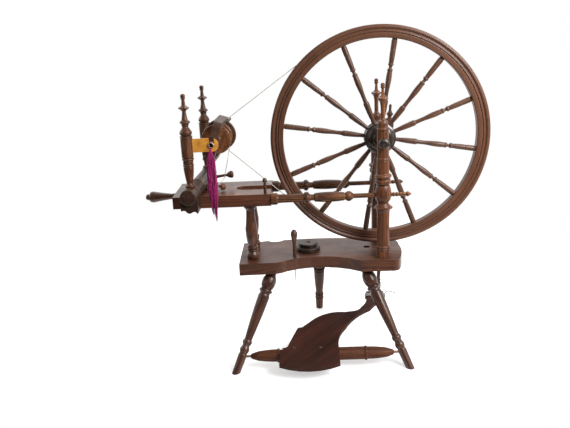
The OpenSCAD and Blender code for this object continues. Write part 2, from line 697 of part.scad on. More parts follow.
module flyer_hooks() {
    color(iron)
    flyer_frame() for (s = [-1, 1]) for (k = [0:hook_count - 1]) {
        hook_stem(s, k, 0);
        translate([s * (arm_w / 2 + hook_len), hook_y(k), s * (hook_z + hook_bend_r)]) rotate([90, 0, 0])
            rotate([0, 0, s > 0 ? -90 : 90]) rotate_extrude(angle = 190)
                translate([hook_bend_r, 0]) circle(hook_wire_r, $fn = 16);
    }
}
spindle_back = maiden_back_y + leather_t / 2 + 5;
orifice_front = -maiden_front_y - leather_t / 2 - 5;
orifice_len = yoke_back - orifice_front;
orifice_bore_len = 26;
module orifice_tube() {
    color(iron)
    flyer_line() translate([0, orifice_front, 0]) rotate([-90, 0, 0])
    difference() {
        lathe([[0, orifice_r - 1], [1, orifice_r, 0.2], [orifice_len, orifice_r]]);
        translate([0, 0, -1]) cylinder(r = orifice_bore_r, h = orifice_bore_len + 1);
        translate([0, 0, orifice_bore_len - 6]) rotate([0, 90, flyer_turn])
            cylinder(r = orifice_bore_r - 1.4, h = 4 * orifice_r, center = true);
    }
}
spindle_len = spindle_back - yoke_back;
module flyer_spindle() {
    color(iron)
    flyer_line() translate([0, yoke_back, 0]) rotate([-90, 0, 0])
        lathe([[0, spindle_r], [spindle_len - 1, spindle_r], [spindle_len, spindle_r - 1]]);
}
whorl_back = 12;
whorl_disc_t = 4.6;
whorl_groove_w = 3;
whorl_lip = 4.5;
module flyer_whorl() {
    disc_back = whorl_front + whorl_disc_t;
    color(dark_walnut)
    flyer_line() rotate([-90, 0, 0])
    difference() {
        lathe([
            [whorl_front, 14], [whorl_front, whorl_r - 3], [whorl_front + 1.2, whorl_r, 0.5],
            [whorl_front + 1.7, whorl_r], [whorl_front + 2.4, whorl_r - 3], [whorl_front + 3.1, whorl_r],
            [disc_back - 0.6, whorl_r], [disc_back, whorl_r - 2, 0.4],
            [-whorl_groove_w, whorl_groove_r + whorl_lip], [-1, whorl_groove_r], [1, whorl_groove_r],
            [whorl_groove_w, whorl_groove_r + whorl_lip],
            [whorl_groove_w + 4, whorl_groove_r + whorl_lip - 0.5, 0.8],
            [whorl_back, 9]
        ]);
        translate([0, 0, whorl_front - 1])
            cylinder(r = spindle_r + seat_gap, h = whorl_back - whorl_front + 2);
    }
}

// Bobbin: a front flange, a barrel and a grooved pulley for the brake cord
bobbin_nose = yoke_back + 1.8;
bobbin_front = bobbin_nose + 30;
bobbin_core_r = 10;
brake_groove_r = 26;
brake_lip = 4;
module bobbin() {
    color([0.45, 0.25, 0.14])
    flyer_line() rotate([-90, 0, 0])
    difference() {
        lathe([
            [bobbin_nose, 8], [bobbin_nose + 2, 9.5], [bobbin_front - 4, 9.5], [bobbin_front, 13, -1],
            [bobbin_front + 1, bobbin_r - 6], [bobbin_front + 2, bobbin_r - 1],
            [bobbin_front + 6, bobbin_r - 0.5, 1], [bobbin_front + 7, bobbin_r - 5],
            [bobbin_front + 10, bobbin_core_r, -2],
            [brake_groove_y - 12, bobbin_core_r], [brake_groove_y - 7, brake_groove_r + 2, -1.5],
            [brake_groove_y - 6, brake_groove_r + brake_lip],
            [brake_groove_y - 3, brake_groove_r + brake_lip, 0.6],
            [brake_groove_y - 1.2, brake_groove_r], [brake_groove_y + 1.2, brake_groove_r],
            [brake_groove_y + 2.6, brake_groove_r + brake_lip],
            [bobbin_back - 0.4, brake_groove_r + brake_lip, 0.3],
            [bobbin_back, 12]
        ]);
        translate([0, 0, bobbin_nose - 1])
            cylinder(r = spindle_r + run_gap, h = bobbin_back - bobbin_nose + 2);
    }
}

// Brake: a peg that winds the brake cord and a fixed peg that anchors it
brake_neck = 52.5;
brake_neck_r = 3.4;
module brake_peg() {
    color(walnut)
    radial_peg(brake_peg_y, brake_peg_tilt) lathe([
        [moa_r - peg_deep, peg_r], [brake_neck - 26, peg_r], [brake_neck - 22, peg_r + 0.8, 0.3],
        [brake_neck - 2, brake_neck_r, -0.4], [brake_neck + 6, brake_neck_r],
        [brake_neck + 14, 8.2, 0.5], [brake_neck + 18, 9, 0.4], [brake_neck + 22, 7.2, 0.8],
        [brake_neck + 23.5, 0, 0.6]
    ]);
}
anchor_neck = 46;
module brake_anchor() {
    color(walnut)
    radial_peg(anchor_y, anchor_tilt) lathe([
        [moa_r - peg_deep, peg_r], [anchor_neck - 6, peg_r - 0.4], [anchor_neck + 4, peg_r - 0.6],
        [anchor_neck + 8, 7.6, -1], [anchor_neck + 14, 8.2, 1],
        [anchor_neck + 18, 5.4, 1.2], [anchor_neck + 20, 0, 0.5]
    ]);
}

// Drive band: an open belt round the wheel's groove and the whorl's small groove
band_wheel_r = groove_r + pass_gap + band_r;
band_whorl_r = whorl_groove_r + pass_gap + band_r;
band_span = [flyer_x, flyer_z - axle_z];
band_lean = atan2(band_span.y, band_span.x);
band_open = acos((band_wheel_r - band_whorl_r) / norm(band_span));
wheel_steps = 72;
whorl_steps = 14;
function band_point(c, r, t) = [c.x + r * cos(t), 0, c.y + r * sin(t)];
band_path = concat(
    [for (i = [0:wheel_steps]) let (t = band_lean + band_open + (360 - 2 * band_open) * i / wheel_steps)
        band_point([0, axle_z], band_wheel_r, t)],
    [for (i = [0:whorl_steps]) let (t = band_lean - band_open + 2 * band_open * i / whorl_steps)
        on_line([band_whorl_r * cos(t), 0, band_whorl_r * sin(t)])]
);
module drive_band() color(cord_white) tube(band_path, band_r, [0, 1, 0], closed = true);

// Brake cord: from the anchor over the bobbin's pulley, past the peg's neck and down again
brake_loop_r = brake_groove_r + pass_gap + brake_cord_r;
brake_steps = 26;
peg_front = brake_peg_y - brake_neck_r - pass_gap - brake_cord_r;
anchor_front = anchor_y - peg_r - pass_gap - brake_cord_r;
neck_x = bar_x(brake_peg_y) + (brake_neck + 2) * cos(brake_peg_tilt);
neck_z = moa_z + (brake_neck + 2) * sin(brake_peg_tilt);
anchor_cord_x = bar_x(anchor_y) + (anchor_neck + 1) * cos(anchor_tilt);
anchor_cord_z = moa_z + (anchor_neck + 1) * sin(anchor_tilt);
brake_drop = 66;
brake_path = concat(
    [[anchor_cord_x - 12, anchor_front, anchor_cord_z - 6]],
    [[anchor_cord_x - 13, anchor_front, anchor_cord_z + 6]],
    [on_line([1 - brake_loop_r, brake_groove_y, -brake_drop])],
    [for (i = [0:brake_steps]) let (t = 182 - 195 * i / brake_steps)
        on_line([brake_loop_r * cos(t), brake_groove_y, brake_loop_r * sin(t)])],
    [on_line([13, brake_groove_y, -brake_drop])],
    [[neck_x + 1, peg_front, neck_z + 8], [neck_x, peg_front, neck_z], [neck_x - 3, peg_front, neck_z - 8]],
    [[anchor_cord_x + 4, (peg_front + anchor_front) / 2 - 4, (neck_z + anchor_cord_z) / 2]],
    [[anchor_cord_x, anchor_front, anchor_cord_z + 5], [anchor_cord_x - 1, anchor_front, anchor_cord_z - 9]]
);
module brake_cord() color(cord_white) tube(brake_path, brake_cord_r, [0, 1, 0]);

// Rim: four felloes with a grooved edge and moulded faces
rim_face = [
    [rim_in, rim_t / 2 - 1.5], [rim_in + 1.5, rim_t / 2],
    [rim_in + 11, rim_t / 2], [rim_in + 12, rim_t / 2 - 1.8],
    [rim_in + 13.5, rim_t / 2 - 2], [rim_in + 17.5, rim_t / 2 - 2, 1.6],
    [rim_in + 19, rim_t / 2 - 3], [wheel_r - 9, rim_t / 2 - 1.6, -0.6],
    [wheel_r - 2.5, rim_t / 2 - 1.6, 1.4], [wheel_r, rim_t / 2 - 4, 0.8]
];
rim_half = [for (i = [0:len(rim_face) - 1])
    let (b = [rim_face[i][0], rim_face[i][1]], s = is_undef(rim_face[i][2]) ? 0 : -rim_face[i][2])
    for (p = i == 0 ? [b] : bow([rim_face[i - 1][0], rim_face[i - 1][1]], b, s, 4)) p];
groove_half_w = 1.5;
rim_outline = concat(
    rim_half,
    [[groove_r, groove_half_w], [groove_r, -groove_half_w]],
    [for (i = [len(rim_half) - 1:-1:0]) [rim_half[i].x, -rim_half[i].y]]
);
module wheel_frame() translate([0, 0, axle_z]) rotate([90, 0, 0]) children();
felloe_turn = spoke_turn + 15;
module felloe(i) {
    color(walnut)
    wheel_frame() difference() {
        rotate([0, 0, felloe_turn + 360 / felloe_count * i]) rotate_extrude(angle = 360 / felloe_count)
            polygon(rim_outline);
        for (k = [0:spoke_count - 1]) spoke_frame(k) translate([0, 0, rim_in - 5])
            cylinder(r = spoke_tenon_r + seat_gap, h = 5 + tenon_in + seat_gap);
    }
}

// Spokes: turned, thin at the hub, with a neck between two swellings
spoke_len = rim_in - hub_seat_r;
module spoke_frame(k) rotate([0, 0, spoke_turn + 360 / spoke_count * k]) rotate([0, 90, 0]) children();
neck_at = 68;
spoke_rows = concat(
    [[hub_seat_r - tenon_in, spoke_tenon_r], [hub_seat_r, spoke_tenon_r]],
    [[hub_seat_r, 4.9], [hub_seat_r + 12, 5], [hub_seat_r + 46, spoke_r, 0.5]],
    [[hub_seat_r + 55, spoke_r - 0.4, 0.4], [hub_seat_r + 58, 5.2, -0.3]],
    [[hub_seat_r + 66, 4.9], [rim_in - neck_at - 40, spoke_r - 0.8, -0.4]],
    [[rim_in - neck_at - 8, spoke_r - 1, 0.8], [rim_in - neck_at - 6, spoke_r - 0.4]],
    [[rim_in - neck_at - 3, spoke_r - 0.4], [rim_in - neck_at, 4, -0.6], [rim_in - neck_at + 3, 4]],
    [[rim_in - neck_at + 6, spoke_r - 0.6, -0.6], [rim_in - neck_at + 10, spoke_r - 0.6, 0.4]],
    [[rim_in - neck_at + 11, spoke_r - 1.4], [rim_in - 26, spoke_r - 0.4, 0.4]],
    [[rim_in - 25, spoke_r - 0.9]],
    [[rim_in - 24, spoke_r - 0.2], [rim_in - 5, spoke_r]],
    [[rim_in - 4, spoke_r - 0.8], [rim_in - 0.1, spoke_r - 0.6]],
    [[rim_in - 0.1, spoke_tenon_r], [rim_in + tenon_in, spoke_tenon_r]]
);
module spoke(k) color(walnut) wheel_frame() spoke_frame(k) lathe(spoke_rows);

// Hub: a turned drum with a flat band where the spokes enter
hub_band = 2 * spoke_r + 2;
hub_half = hub_len / 2;
hub_side = [
    [hub_band / 2, hub_seat_r], [hub_band / 2 + 2, hub_r],
    [hub_band / 2 + 8, hub_r, 1], [hub_band / 2 + 10, hub_r - 4],
    [hub_half - 6, 20, 1.5], [hub_half - 5, 18], [hub_half, 17, 1.2], [hub_half, axle_r + 3]
];
module hub() {
    rows = concat(
        [for (i = [len(hub_side) - 1:-1:0]) [-hub_side[i][0], hub_side[i][1],
            i < len(hub_side) - 1 ? hub_side[i + 1][2] : 0]],
        hub_side
    );
    color(dark_walnut)
    wheel_frame() difference() {
        lathe(rows);
        cylinder(r = axle_r + seat_gap, h = 2 * hub_len, center = true);
        for (k = [0:spoke_count - 1]) spoke_frame(k) translate([0, 0, hub_seat_r - tenon_in - seat_gap])
            cylinder(r = spoke_tenon_r + seat_gap, h = tenon_in + 10);
    }
}

// Axle: an iron rod with a button in front and a forged crank behind
button_r = 12.5;
button_y = post_y + post_r + 3;
button_len = 15;
crank_y = post_y + post_r + 5;
crank_t = 7;
crank_pin_len = 20;
crank_at = [crank_r * cos(crank_turn), crank_r * sin(crank_turn)];
module axle_crank() {
    color(iron)
    union() {
        translate([0, 0, axle_z]) rotate([-90, 0, 0]) lathe([
            [-button_y - button_len, 4], [3 - button_y - button_len, button_r - 1, 1.2],
            [-button_y - 4, button_r, 0.8], [-button_y, button_r - 3],
            [-button_y, axle_r], [crank_y + 1, axle_r]
        ]);
        translate([0, crank_y + crank_t, axle_z]) rotate([90, 0, 0]) linear_extrude(crank_t) union() {
            circle(axle_r + 4);
            translate(crank_at) circle(crank_pin_r + 3.5);
            rotate(crank_turn) translate([0, -5]) square([crank_r, 10]);
        }
        translate([crank_at.x, 0, axle_z + crank_at.y]) rotate([-90, 0, 0])
            translate([0, 0, crank_y + 1]) cylinder(r = crank_pin_r, h = crank_t + crank_pin_len - 1);
    }
}

// Footman: a turned rod from the crank pin down to the treadle's arm
footman_t = 14;
footman_y = crank_y + crank_t + pass_gap + 2 + footman_t / 2;
footman_foot = [4, footman_y, 92];
footman_pin = [crank_at.x, footman_y, axle_z + crank_at.y];
footman_len = norm(footman_pin - footman_foot);
footman_head_r = 11;
side_cut = 40;
lace_hole_r = 3;
lace_hole_up = 12;
footman_rows = concat(
    [[0, 5], [3, 7.4, 0.8], [24, 7.4, 0.6], [28, 5.4, -0.5]],
    bead(29, 5, 7, 5),
    [[40, 4.8], [footman_len / 2, 6.4, 0.6], [footman_len - 40, 4.6, 0.6]],
    bead(footman_len - 38, 6, 7.4, 4.8),
    [[footman_len - 26, 5.6], [footman_len - 14, footman_head_r, -1.5]],
    [[footman_len + 14, footman_head_r - 0.6, 1]],
    [[footman_len + 18, 4.6, -1.2], [footman_len + 24, 8.4, -0.6], [footman_len + 27, 8.2, 0.3]],
    [[footman_len + 38, 3.2, -1.2], [footman_len + 44, 3.4]],
    [[footman_len + 51, 0, 1.6]]
);
module footman() {
    color(dark_walnut)
    difference() {
        along(footman_foot, footman_pin) lathe(footman_rows);
        translate([footman_pin.x, footman_pin.y - 30, footman_pin.z]) rotate([-90, 0, 0])
            cylinder(r = crank_pin_r + run_gap, h = 60);
        for (s = [-1, 1])
            translate([footman_foot.x, footman_y + s * (footman_t + side_cut) / 2, axle_z / 2])
            cube([3 * side_cut, side_cut, 2 * axle_z], center = true);
        translate([footman_foot.x + 1, footman_y - 30, footman_foot.z + lace_hole_up]) rotate([-90, 0, 0])
            cylinder(r = lace_hole_r, h = 60);
    }
}

// Treadle: a bar that rocks between the front legs and a board with a curved arm
pivot_t = (bench_low - treadle_h) / bench_low;
pivot_y = -leg_top_y - (leg_foot_y - leg_top_y) * pivot_t;
pivot_x = leg_top_x + (leg_foot_x - leg_top_x) * pivot_t;
pin_in = 2;
bar_gap = 21;
bar_half = pivot_x - bar_gap;
bar_taper = 71;
board_low = 6;
board_left = 103;
board_right = 41;
module treadle_frame() translate([bench_mid, pivot_y, treadle_h]) rotate([treadle_tilt, 0, 0]) children();
module treadle_pin(i, gap) {
    s = i == 0 ? -1 : 1;
    rod([bench_mid + s * (bar_half - 14), pivot_y, treadle_h],
        [bench_mid + s * (pivot_x + pin_in + gap), pivot_y, treadle_h], treadle_pin_r + gap);
}
module treadle_pins() color(iron) for (i = [0, 1]) treadle_pin(i, 0);
module treadle_bar() {
    neck = bar_half - bar_taper;
    rows = [
        [-bar_half, treadle_pin_r + 0.5], [8 - bar_half, 8, 1], [30 - bar_half, treadle_bar_r - 2.5, 1],
        [-neck - 6, treadle_bar_r - 0.6, 0.6], [-neck - 5, treadle_bar_r + 1.2],
        [-neck, treadle_bar_r + 1.2, 0.5],
        [-neck, treadle_bar_r], [neck, treadle_bar_r],
        [neck, treadle_bar_r + 1.2], [neck + 5, treadle_bar_r + 1.2, 0.5], [neck + 6, treadle_bar_r - 0.6],
        [bar_half - 30, treadle_bar_r - 2.5, 0.6], [bar_half - 8, 8, 1], [bar_half, treadle_pin_r + 0.5, 1]
    ];
    color(walnut)
    difference() {
        treadle_frame() difference() {
            rotate([0, 90, 0]) lathe(rows);
            translate([-board_left - seat_gap, -2 * treadle_bar_r, board_low])
                cube([board_left + board_right + 2 * seat_gap, 4 * treadle_bar_r, 2 * treadle_bar_r]);
            nails(seat_gap);
        }
        for (i = [0, 1]) treadle_pin(i, seat_gap);
    }
}
arm_reach = footman_y - footman_t / 2 - pivot_y - arm_gap;
arm_tip_x = 152;
arm_tip_half = 24;
board_front = 52;
board_rows = [
    [-board_left, -board_front],
    [board_right, -board_front, 17],
    [board_right, 18],
    [board_right + 22, 84, -6],
    [arm_tip_x - 20, arm_reach - 78, -8],
    [arm_tip_x + arm_tip_half, arm_reach - 32, -3],
    [arm_tip_x + arm_tip_half, arm_reach - 6],
    [arm_tip_x + arm_tip_half - 6, arm_reach, 1.6],
    [arm_tip_x - arm_tip_half + 6, arm_reach, 1],
    [arm_tip_x - arm_tip_half, arm_reach - 6, 1.6],
    [arm_tip_x - arm_tip_half, arm_reach - 26],
    [109, arm_reach - 72, -5],
    [91, arm_reach - 87, -3],
    [65, arm_reach - 91],
    [26, arm_reach - 93, 2],
    [-27, 107, 5],
    [-43, 91],
    [-55, 86, -2],
    [-60, 80, 1],
    [-84, 12],
    [-96, 8, -1],
    [-board_left, -3, -3]
];
nail_r = 3;
nail_at = [-66, -3];
nail_y = 7;
nail_deep = 14;
nail_crown = 1.2;
module nails(gap) for (x = nail_at) translate([x, nail_y, board_low + board_t - nail_deep - gap])
    cylinder(r = nail_r + gap, h = nail_deep + gap + 1);
module treadle_board() {
    color(walnut)
    treadle_frame() difference() {
        translate([0, 0, board_low]) linear_extrude(board_t) polygon(drawn(board_rows));
        nails(seat_gap);
    }
}
module treadle_nails() {
    color(dark_walnut)
    treadle_frame() for (x = nail_at) translate([x, nail_y, board_low + board_t - nail_deep])
        lathe([[0, nail_r], [nail_deep, nail_r], [nail_deep + nail_crown, 0, 0.3]]);
}

// Lace: a leather thong wound round the tip of the treadle's arm, with a loose end
lace_r = 1.6;
lace_loops = 3;
lace_pitch = 4.4;
lace_start = arm_reach - 24;
lace_off = pass_gap + lace_r;
lace_corners = [[arm_tip_half, board_low + board_t], [-arm_tip_half, board_low + board_t],
    [-arm_tip_half, board_low], [arm_tip_half, board_low]];
lace_bends = 4;
lace_turns = [for (c = [0:4 * lace_loops - 1]) for (k = [0:lace_bends - 1])
    let (q = lace_corners[c % 4], t = 90 * (c % 4) + 90 * k / (lace_bends - 1))
    [arm_tip_x + q.x + lace_off * cos(t), lace_start + lace_pitch * (c + k / (lace_bends - 1)) / 4,
     q.y + lace_off * sin(t)]];
lace_end = lace_start + lace_pitch * lace_loops;
lace_path = concat(lace_turns, [
    [arm_tip_x + arm_tip_half + lace_off + 1, lace_end, board_low + board_t / 2],
    [arm_tip_x + arm_tip_half + 6, lace_end + 1, board_low + board_t + 2],
    [arm_tip_x + arm_tip_half + 12, lace_end + 2, board_low + board_t + 4],
    [arm_tip_x + arm_tip_half + 22, lace_end + 3, board_low + board_t + 1],
    [arm_tip_x + arm_tip_half + 34, lace_end + 4, board_low + board_t - 5]
]);
lace_last = len(lace_path) - 1;
lace_apart = 3 * lace_bends;
lace_gap = min([for (i = [0:lace_last - lace_apart]) for (j = [i + lace_apart:lace_last])
    norm(lace_path[i] - lace_path[j])]) - 2 * lace_r;
echo(least_gap_of_the_lace_to_itself = lace_gap);
module footman_lace() color([0.42, 0.30, 0.20]) treadle_frame() tube(lace_path, lace_r, [0, 1, 0.05]);

// Threading hook: a turned handle on the bench with a wire through its hole
hook_handle_len = 70;
hook_rod_r = 0.9;
hook_rod_len = 62;
hook_rod_in = 14;
module hook_stand() translate([hook_at.x, hook_at.y, bench_h + pass_gap]) children();
module orifice_hook_handle() {
    color(dark_walnut)
    hook_stand() difference() {
        lathe([
            [0, 4.3], [14, 4.8, 0.2], [30, 4.3, -0.2], [44, 5.6, -0.2],
            [58, 8.1, 0.5], [65, 6.2, 1], [hook_handle_len, 0, 1.6]
        ]);
        translate([0, 0, -1]) cylinder(r = hook_rod_r + seat_gap, h = 1 + hook_rod_in + seat_gap);
    }
}
hook_tip_r = 1.15;
module orifice_hook_wire() {
    color(iron)
    hook_stand() {
        translate([0, 0, -hook_rod_len]) cylinder(r = hook_rod_r, h = hook_rod_len + hook_rod_in);
        translate([0, hook_tip_r, -hook_rod_len]) rotate([90, 0, 90]) rotate([0, 0, 180])
            rotate_extrude(angle = 200) translate([hook_tip_r, 0]) circle(hook_rod_r, $fn = 24);
    }
}

// Spare whorl: a stepped pulley that stands on the bench
spare_at = [-183, 6];
spare_h = 20;
module spare_whorl() {
    color(walnut)
    translate([spare_at.x, spare_at.y, bench_h + pass_gap]) difference() {
        lathe([
            [0, 28], [1.5, 30.5, 0.4], [4, 31, 0.3], [5, 29.2], [6, 31], [9, 31, 0.4], [10, 30],
            [11.5, 21.5], [13.5, 21.5], [15, 24.5], [16, 25], [19, 25, 0.4], [spare_h, 24.2]
        ]);
        translate([0, 0, -1]) cylinder(r = spindle_r + run_gap, h = spare_h + 2);
        translate([0, 0, spare_h - 4]) cylinder(r1 = spindle_r + run_gap, r2 = 6.6, h = 4.1);
    }
}

// Wool: a soft roving that hangs from the orifice
wool_tip_r = 3.5;
wool_mouth = on_line([0, orifice_front, 0]);
wool_top = wool_mouth + [-1, -wool_tip_r - pass_gap, -5];
wool_foot = [wool_mouth.x - 1, wool_mouth.y - 14, table_z - 50];
module wool_roving() {
    len = norm(wool_top - wool_foot);
    color(purple_wool)
    along(wool_foot, wool_top) lathe([
        [0, 1.5], [12, 7, 0.8], [36, 10.5, 0.8], [len - 70, 11.5, 0.6],
        [len - 30, 8.5, 0.8], [len, wool_tip_r], [len + 3, 0, 0.8]
    ]);
}

placed() bench();
placed() leg(0);  // leg_front_left
placed() leg(1);  // leg_front_right
placed() leg(2);  // leg_back
placed() wheel_post(-1);  // wheel_post_front
placed() wheel_post(1);  // wheel_post_back
placed() axle_bushes();
placed() upper_table();
placed() table_post(0);  // table_post_front
placed() table_post(1);  // table_post_back
placed() rail(-1);  // rail_front
placed() rail(1);  // rail_back
placed() rail_peg();
placed() tension_screw();
placed() mother_of_all();
placed() moa_bracket();
placed() moa_tongue();
placed() maiden(-maiden_front_y, leather_w);  // maiden_front
placed() maiden(maiden_back_y, leather_back_w);  // maiden_back
placed() leather_front();
placed() leather_back();
placed() brake_peg();
placed() brake_anchor();
placed() flyer_arms();
placed() flyer_hooks();
placed() flyer_spindle();
placed() orifice_tube();
placed() flyer_whorl();
placed() bobbin();
placed() drive_band();
placed() brake_cord();
for (i = [1:felloe_count]) placed() felloe(i - 1);
for (k = [1:spoke_count]) placed() spoke(k - 1);
placed() hub();
placed() axle_crank();
placed() footman();
placed() footman_lace();
placed() treadle_bar();
placed() treadle_board();
placed() treadle_pins();
placed() treadle_nails();
placed() orifice_hook_handle();
placed() orifice_hook_wire();
placed() spare_whorl();
placed() wool_roving();
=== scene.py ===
import bpy
import bmesh
import math
import random
from mathutils import Matrix, Vector


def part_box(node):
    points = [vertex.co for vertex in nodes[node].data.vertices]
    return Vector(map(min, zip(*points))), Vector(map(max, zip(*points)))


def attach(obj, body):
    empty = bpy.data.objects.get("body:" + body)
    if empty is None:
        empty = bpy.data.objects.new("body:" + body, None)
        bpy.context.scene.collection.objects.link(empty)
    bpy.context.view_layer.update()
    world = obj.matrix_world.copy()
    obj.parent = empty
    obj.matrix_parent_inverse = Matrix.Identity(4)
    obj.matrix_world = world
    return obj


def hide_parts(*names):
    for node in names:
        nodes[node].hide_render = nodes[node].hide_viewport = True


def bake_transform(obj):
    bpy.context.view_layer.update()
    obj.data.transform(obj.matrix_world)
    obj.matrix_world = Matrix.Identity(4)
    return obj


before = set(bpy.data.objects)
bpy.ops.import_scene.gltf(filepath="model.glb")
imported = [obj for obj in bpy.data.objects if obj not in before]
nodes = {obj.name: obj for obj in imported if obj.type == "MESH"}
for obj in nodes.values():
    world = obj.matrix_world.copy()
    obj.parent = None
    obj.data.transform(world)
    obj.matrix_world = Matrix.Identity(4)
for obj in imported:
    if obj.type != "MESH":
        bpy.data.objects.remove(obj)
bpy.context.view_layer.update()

scene = bpy.context.scene
acrossX, acrossY, upright = (1, 0, 0), (0, 1, 0), (0, 0, 1)
pureWhite = (1, 1, 1, 1)

# places and leans that the cords and the grain follow, as in the part's source
place = {
    "axle": Vector((0.160, 0.0, 0.533)),
    "flyer": Vector((-0.225, 0.0, 0.557)),
    "moa": Vector((-0.283, 0.0, 0.4388)),
    "flyerSkew": math.radians(4.0),
    "flyerPitch": math.radians(2.5),
    "barTurn": math.radians(3.2),
    "legTop": (0.113, 0.055, 0.221),
    "legFoot": (0.210, 0.165, 0.0),
    "backTop": 0.045,
    "backFoot": 0.206,
}


def onLine(x, y, z):
    # a place measured along the flyer's tilted axis
    skew, pitch = place["flyerSkew"], place["flyerPitch"]
    far = y * math.cos(pitch) - z * math.sin(pitch)
    rise = y * math.sin(pitch) + z * math.cos(pitch)
    return place["flyer"] + Vector((x * math.cos(skew) + far * math.sin(skew),
                                    far * math.cos(skew) - x * math.sin(skew), rise))


def barX(y):
    # the middle of the mother-of-all, which lies a little askew
    return place["moa"].x + y * math.tan(place["barTurn"])


# camera, as fitted to the picture
shot = {
    "eye": (-0.0290, -1.5858, 0.8012),
    "right": (0.99885, 0.01835, -0.04422),
    "ahead": (-0.0298, 0.9612, -0.2744),
    "focalPx": 655.6,
    "widthPx": 570,
    "sensor": 36.0,
    "clipEnd": 60,
}


def setCamera():
    cam = bpy.data.cameras.new("pictureCamera")
    cam.sensor_fit = "HORIZONTAL"
    cam.sensor_width = shot["sensor"]
    cam.lens = shot["focalPx"] / shot["widthPx"] * shot["sensor"]
    cam.clip_end = shot["clipEnd"]
    camera = bpy.data.objects.new("pictureCamera", cam)
    scene.collection.objects.link(camera)
    back = -Vector(shot["ahead"]).normalized()
    right = Vector(shot["right"]).normalized()
    up = back.cross(right).normalized()
    right = up.cross(back).normalized()
    turn = Matrix((right, up, back)).transposed().to_4x4()
    camera.matrix_world = Matrix.Translation(shot["eye"]) @ turn
    scene.camera = camera


setCamera()
scene.view_settings.view_transform = "Standard"
print("camera set")


# node helpers
def addNode(tree, kind, values=None, **settings):
    node = tree.nodes.new(kind)
    for key, value in settings.items():
        setattr(node, key, value)
    setSockets(node, values or {})
    return node


def setSockets(node, values):
    for key, value in values.items():
        node.inputs[key].default_value = value


def wire(tree, source, target):
    tree.links.new(source, target)


def feed(tree, socket, value):
    # a socket takes a link, a number or a colour
    if isinstance(value, bpy.types.NodeSocket):
        wire(tree, value, socket)
    elif isinstance(value, (int, float)):
        socket.default_value = value
    else:
        socket.default_value = (*value, 1)


def rampOf(tree, source, places, colours):
    ramp = addNode(tree, "ShaderNodeValToRGB")
    line = ramp.color_ramp
    while len(line.elements) < len(places):
        line.elements.new(0.5)
    for element, at, colour in zip(line.elements, places, colours):
        element.position = at
        element.color = (*colour, 1)
    wire(tree, source, ramp.inputs["Fac"])
    return ramp.outputs["Color"]


def maskOf(tree, source, places, levels=(0.0, 1.0)):
    # a ramp between two greys
    return rampOf(tree, source, places, [(level, level, level) for level in levels])


def mixColour(tree, amount, first, second, blend="MIX"):
    mix = addNode(tree, "ShaderNodeMix", data_type="RGBA", blend_type=blend)
    for slot, value in ((0, amount), (6, first), (7, second)):  # the sockets of a colour mix
        feed(tree, mix.inputs[slot], value)
    return mix.outputs[2]


def maths(tree, operation, first, second=None, clamp=False):
    node = addNode(tree, "ShaderNodeMath", operation=operation, use_clamp=clamp)
    feed(tree, node.inputs[0], first)
    if second is not None:
        feed(tree, node.inputs[1], second)
    return node.outputs[0]


def times(tree, first, second):
    return maths(tree, "MULTIPLY", first, second)


def plus(tree, first, second, clamp=False):
    return maths(tree, "ADD", first, second, clamp)


def vectorMaths(tree, operation, vector, other):
    node = addNode(tree, "ShaderNodeVectorMath", operation=operation)
    wire(tree, vector, node.inputs[0])
    node.inputs[1].default_value = other
    return node


def stretched(tree, vector, scale):
    return vectorMaths(tree, "MULTIPLY", vector, scale).outputs[0]


def rangeOf(tree, value, toRange, fromRange=(0.0, 1.0), **settings):
    node = addNode(tree, "ShaderNodeMapRange", {
        "From Min": fromRange[0], "From Max": fromRange[1],
        "To Min": toRange[0], "To Max": toRange[1]}, **settings)
    wire(tree, value, node.inputs["Value"])
    return node.outputs[0]


def noiseOf(tree, vector, scale, detail=3.0, roughness=0.55, distortion=0.0):
    noise = addNode(tree, "ShaderNodeTexNoise", {
        "Scale": scale, "Detail": detail, "Roughness": roughness, "Distortion": distortion})
    wire(tree, vector, noise.inputs["Vector"])
    return noise.outputs["Fac"]


def arrisWear(tree, radius):
    # the difference between a rounded normal and the true one marks the arrises
    rounded = addNode(tree, "ShaderNodeBevel", {"Radius": radius}, samples=4)
    surface = addNode(tree, "ShaderNodeNewGeometry")
    dot = addNode(tree, "ShaderNodeVectorMath", operation="DOT_PRODUCT")
    wire(tree, rounded.outputs[0], dot.inputs[0])
    wire(tree, surface.outputs["Normal"], dot.inputs[1])
    return maths(tree, "SUBTRACT", 1.0, dot.outputs["Value"], True), rounded.outputs[0]


def bumpOf(tree, height, strength, distance, normal=None):
    bump = addNode(tree, "ShaderNodeBump", {"Strength": strength, "Distance": distance})
    wire(tree, height, bump.inputs["Height"])
    if normal is not None:
        wire(tree, normal, bump.inputs["Normal"])
    return bump.outputs["Normal"]


def startMaterial(name):
    material = bpy.data.materials.new(name)
    material.use_nodes = True
    tree = material.node_tree
    coords = addNode(tree, "ShaderNodeTexCoord").outputs["Object"]
    return material, tree, tree.nodes["Principled BSDF"], coords


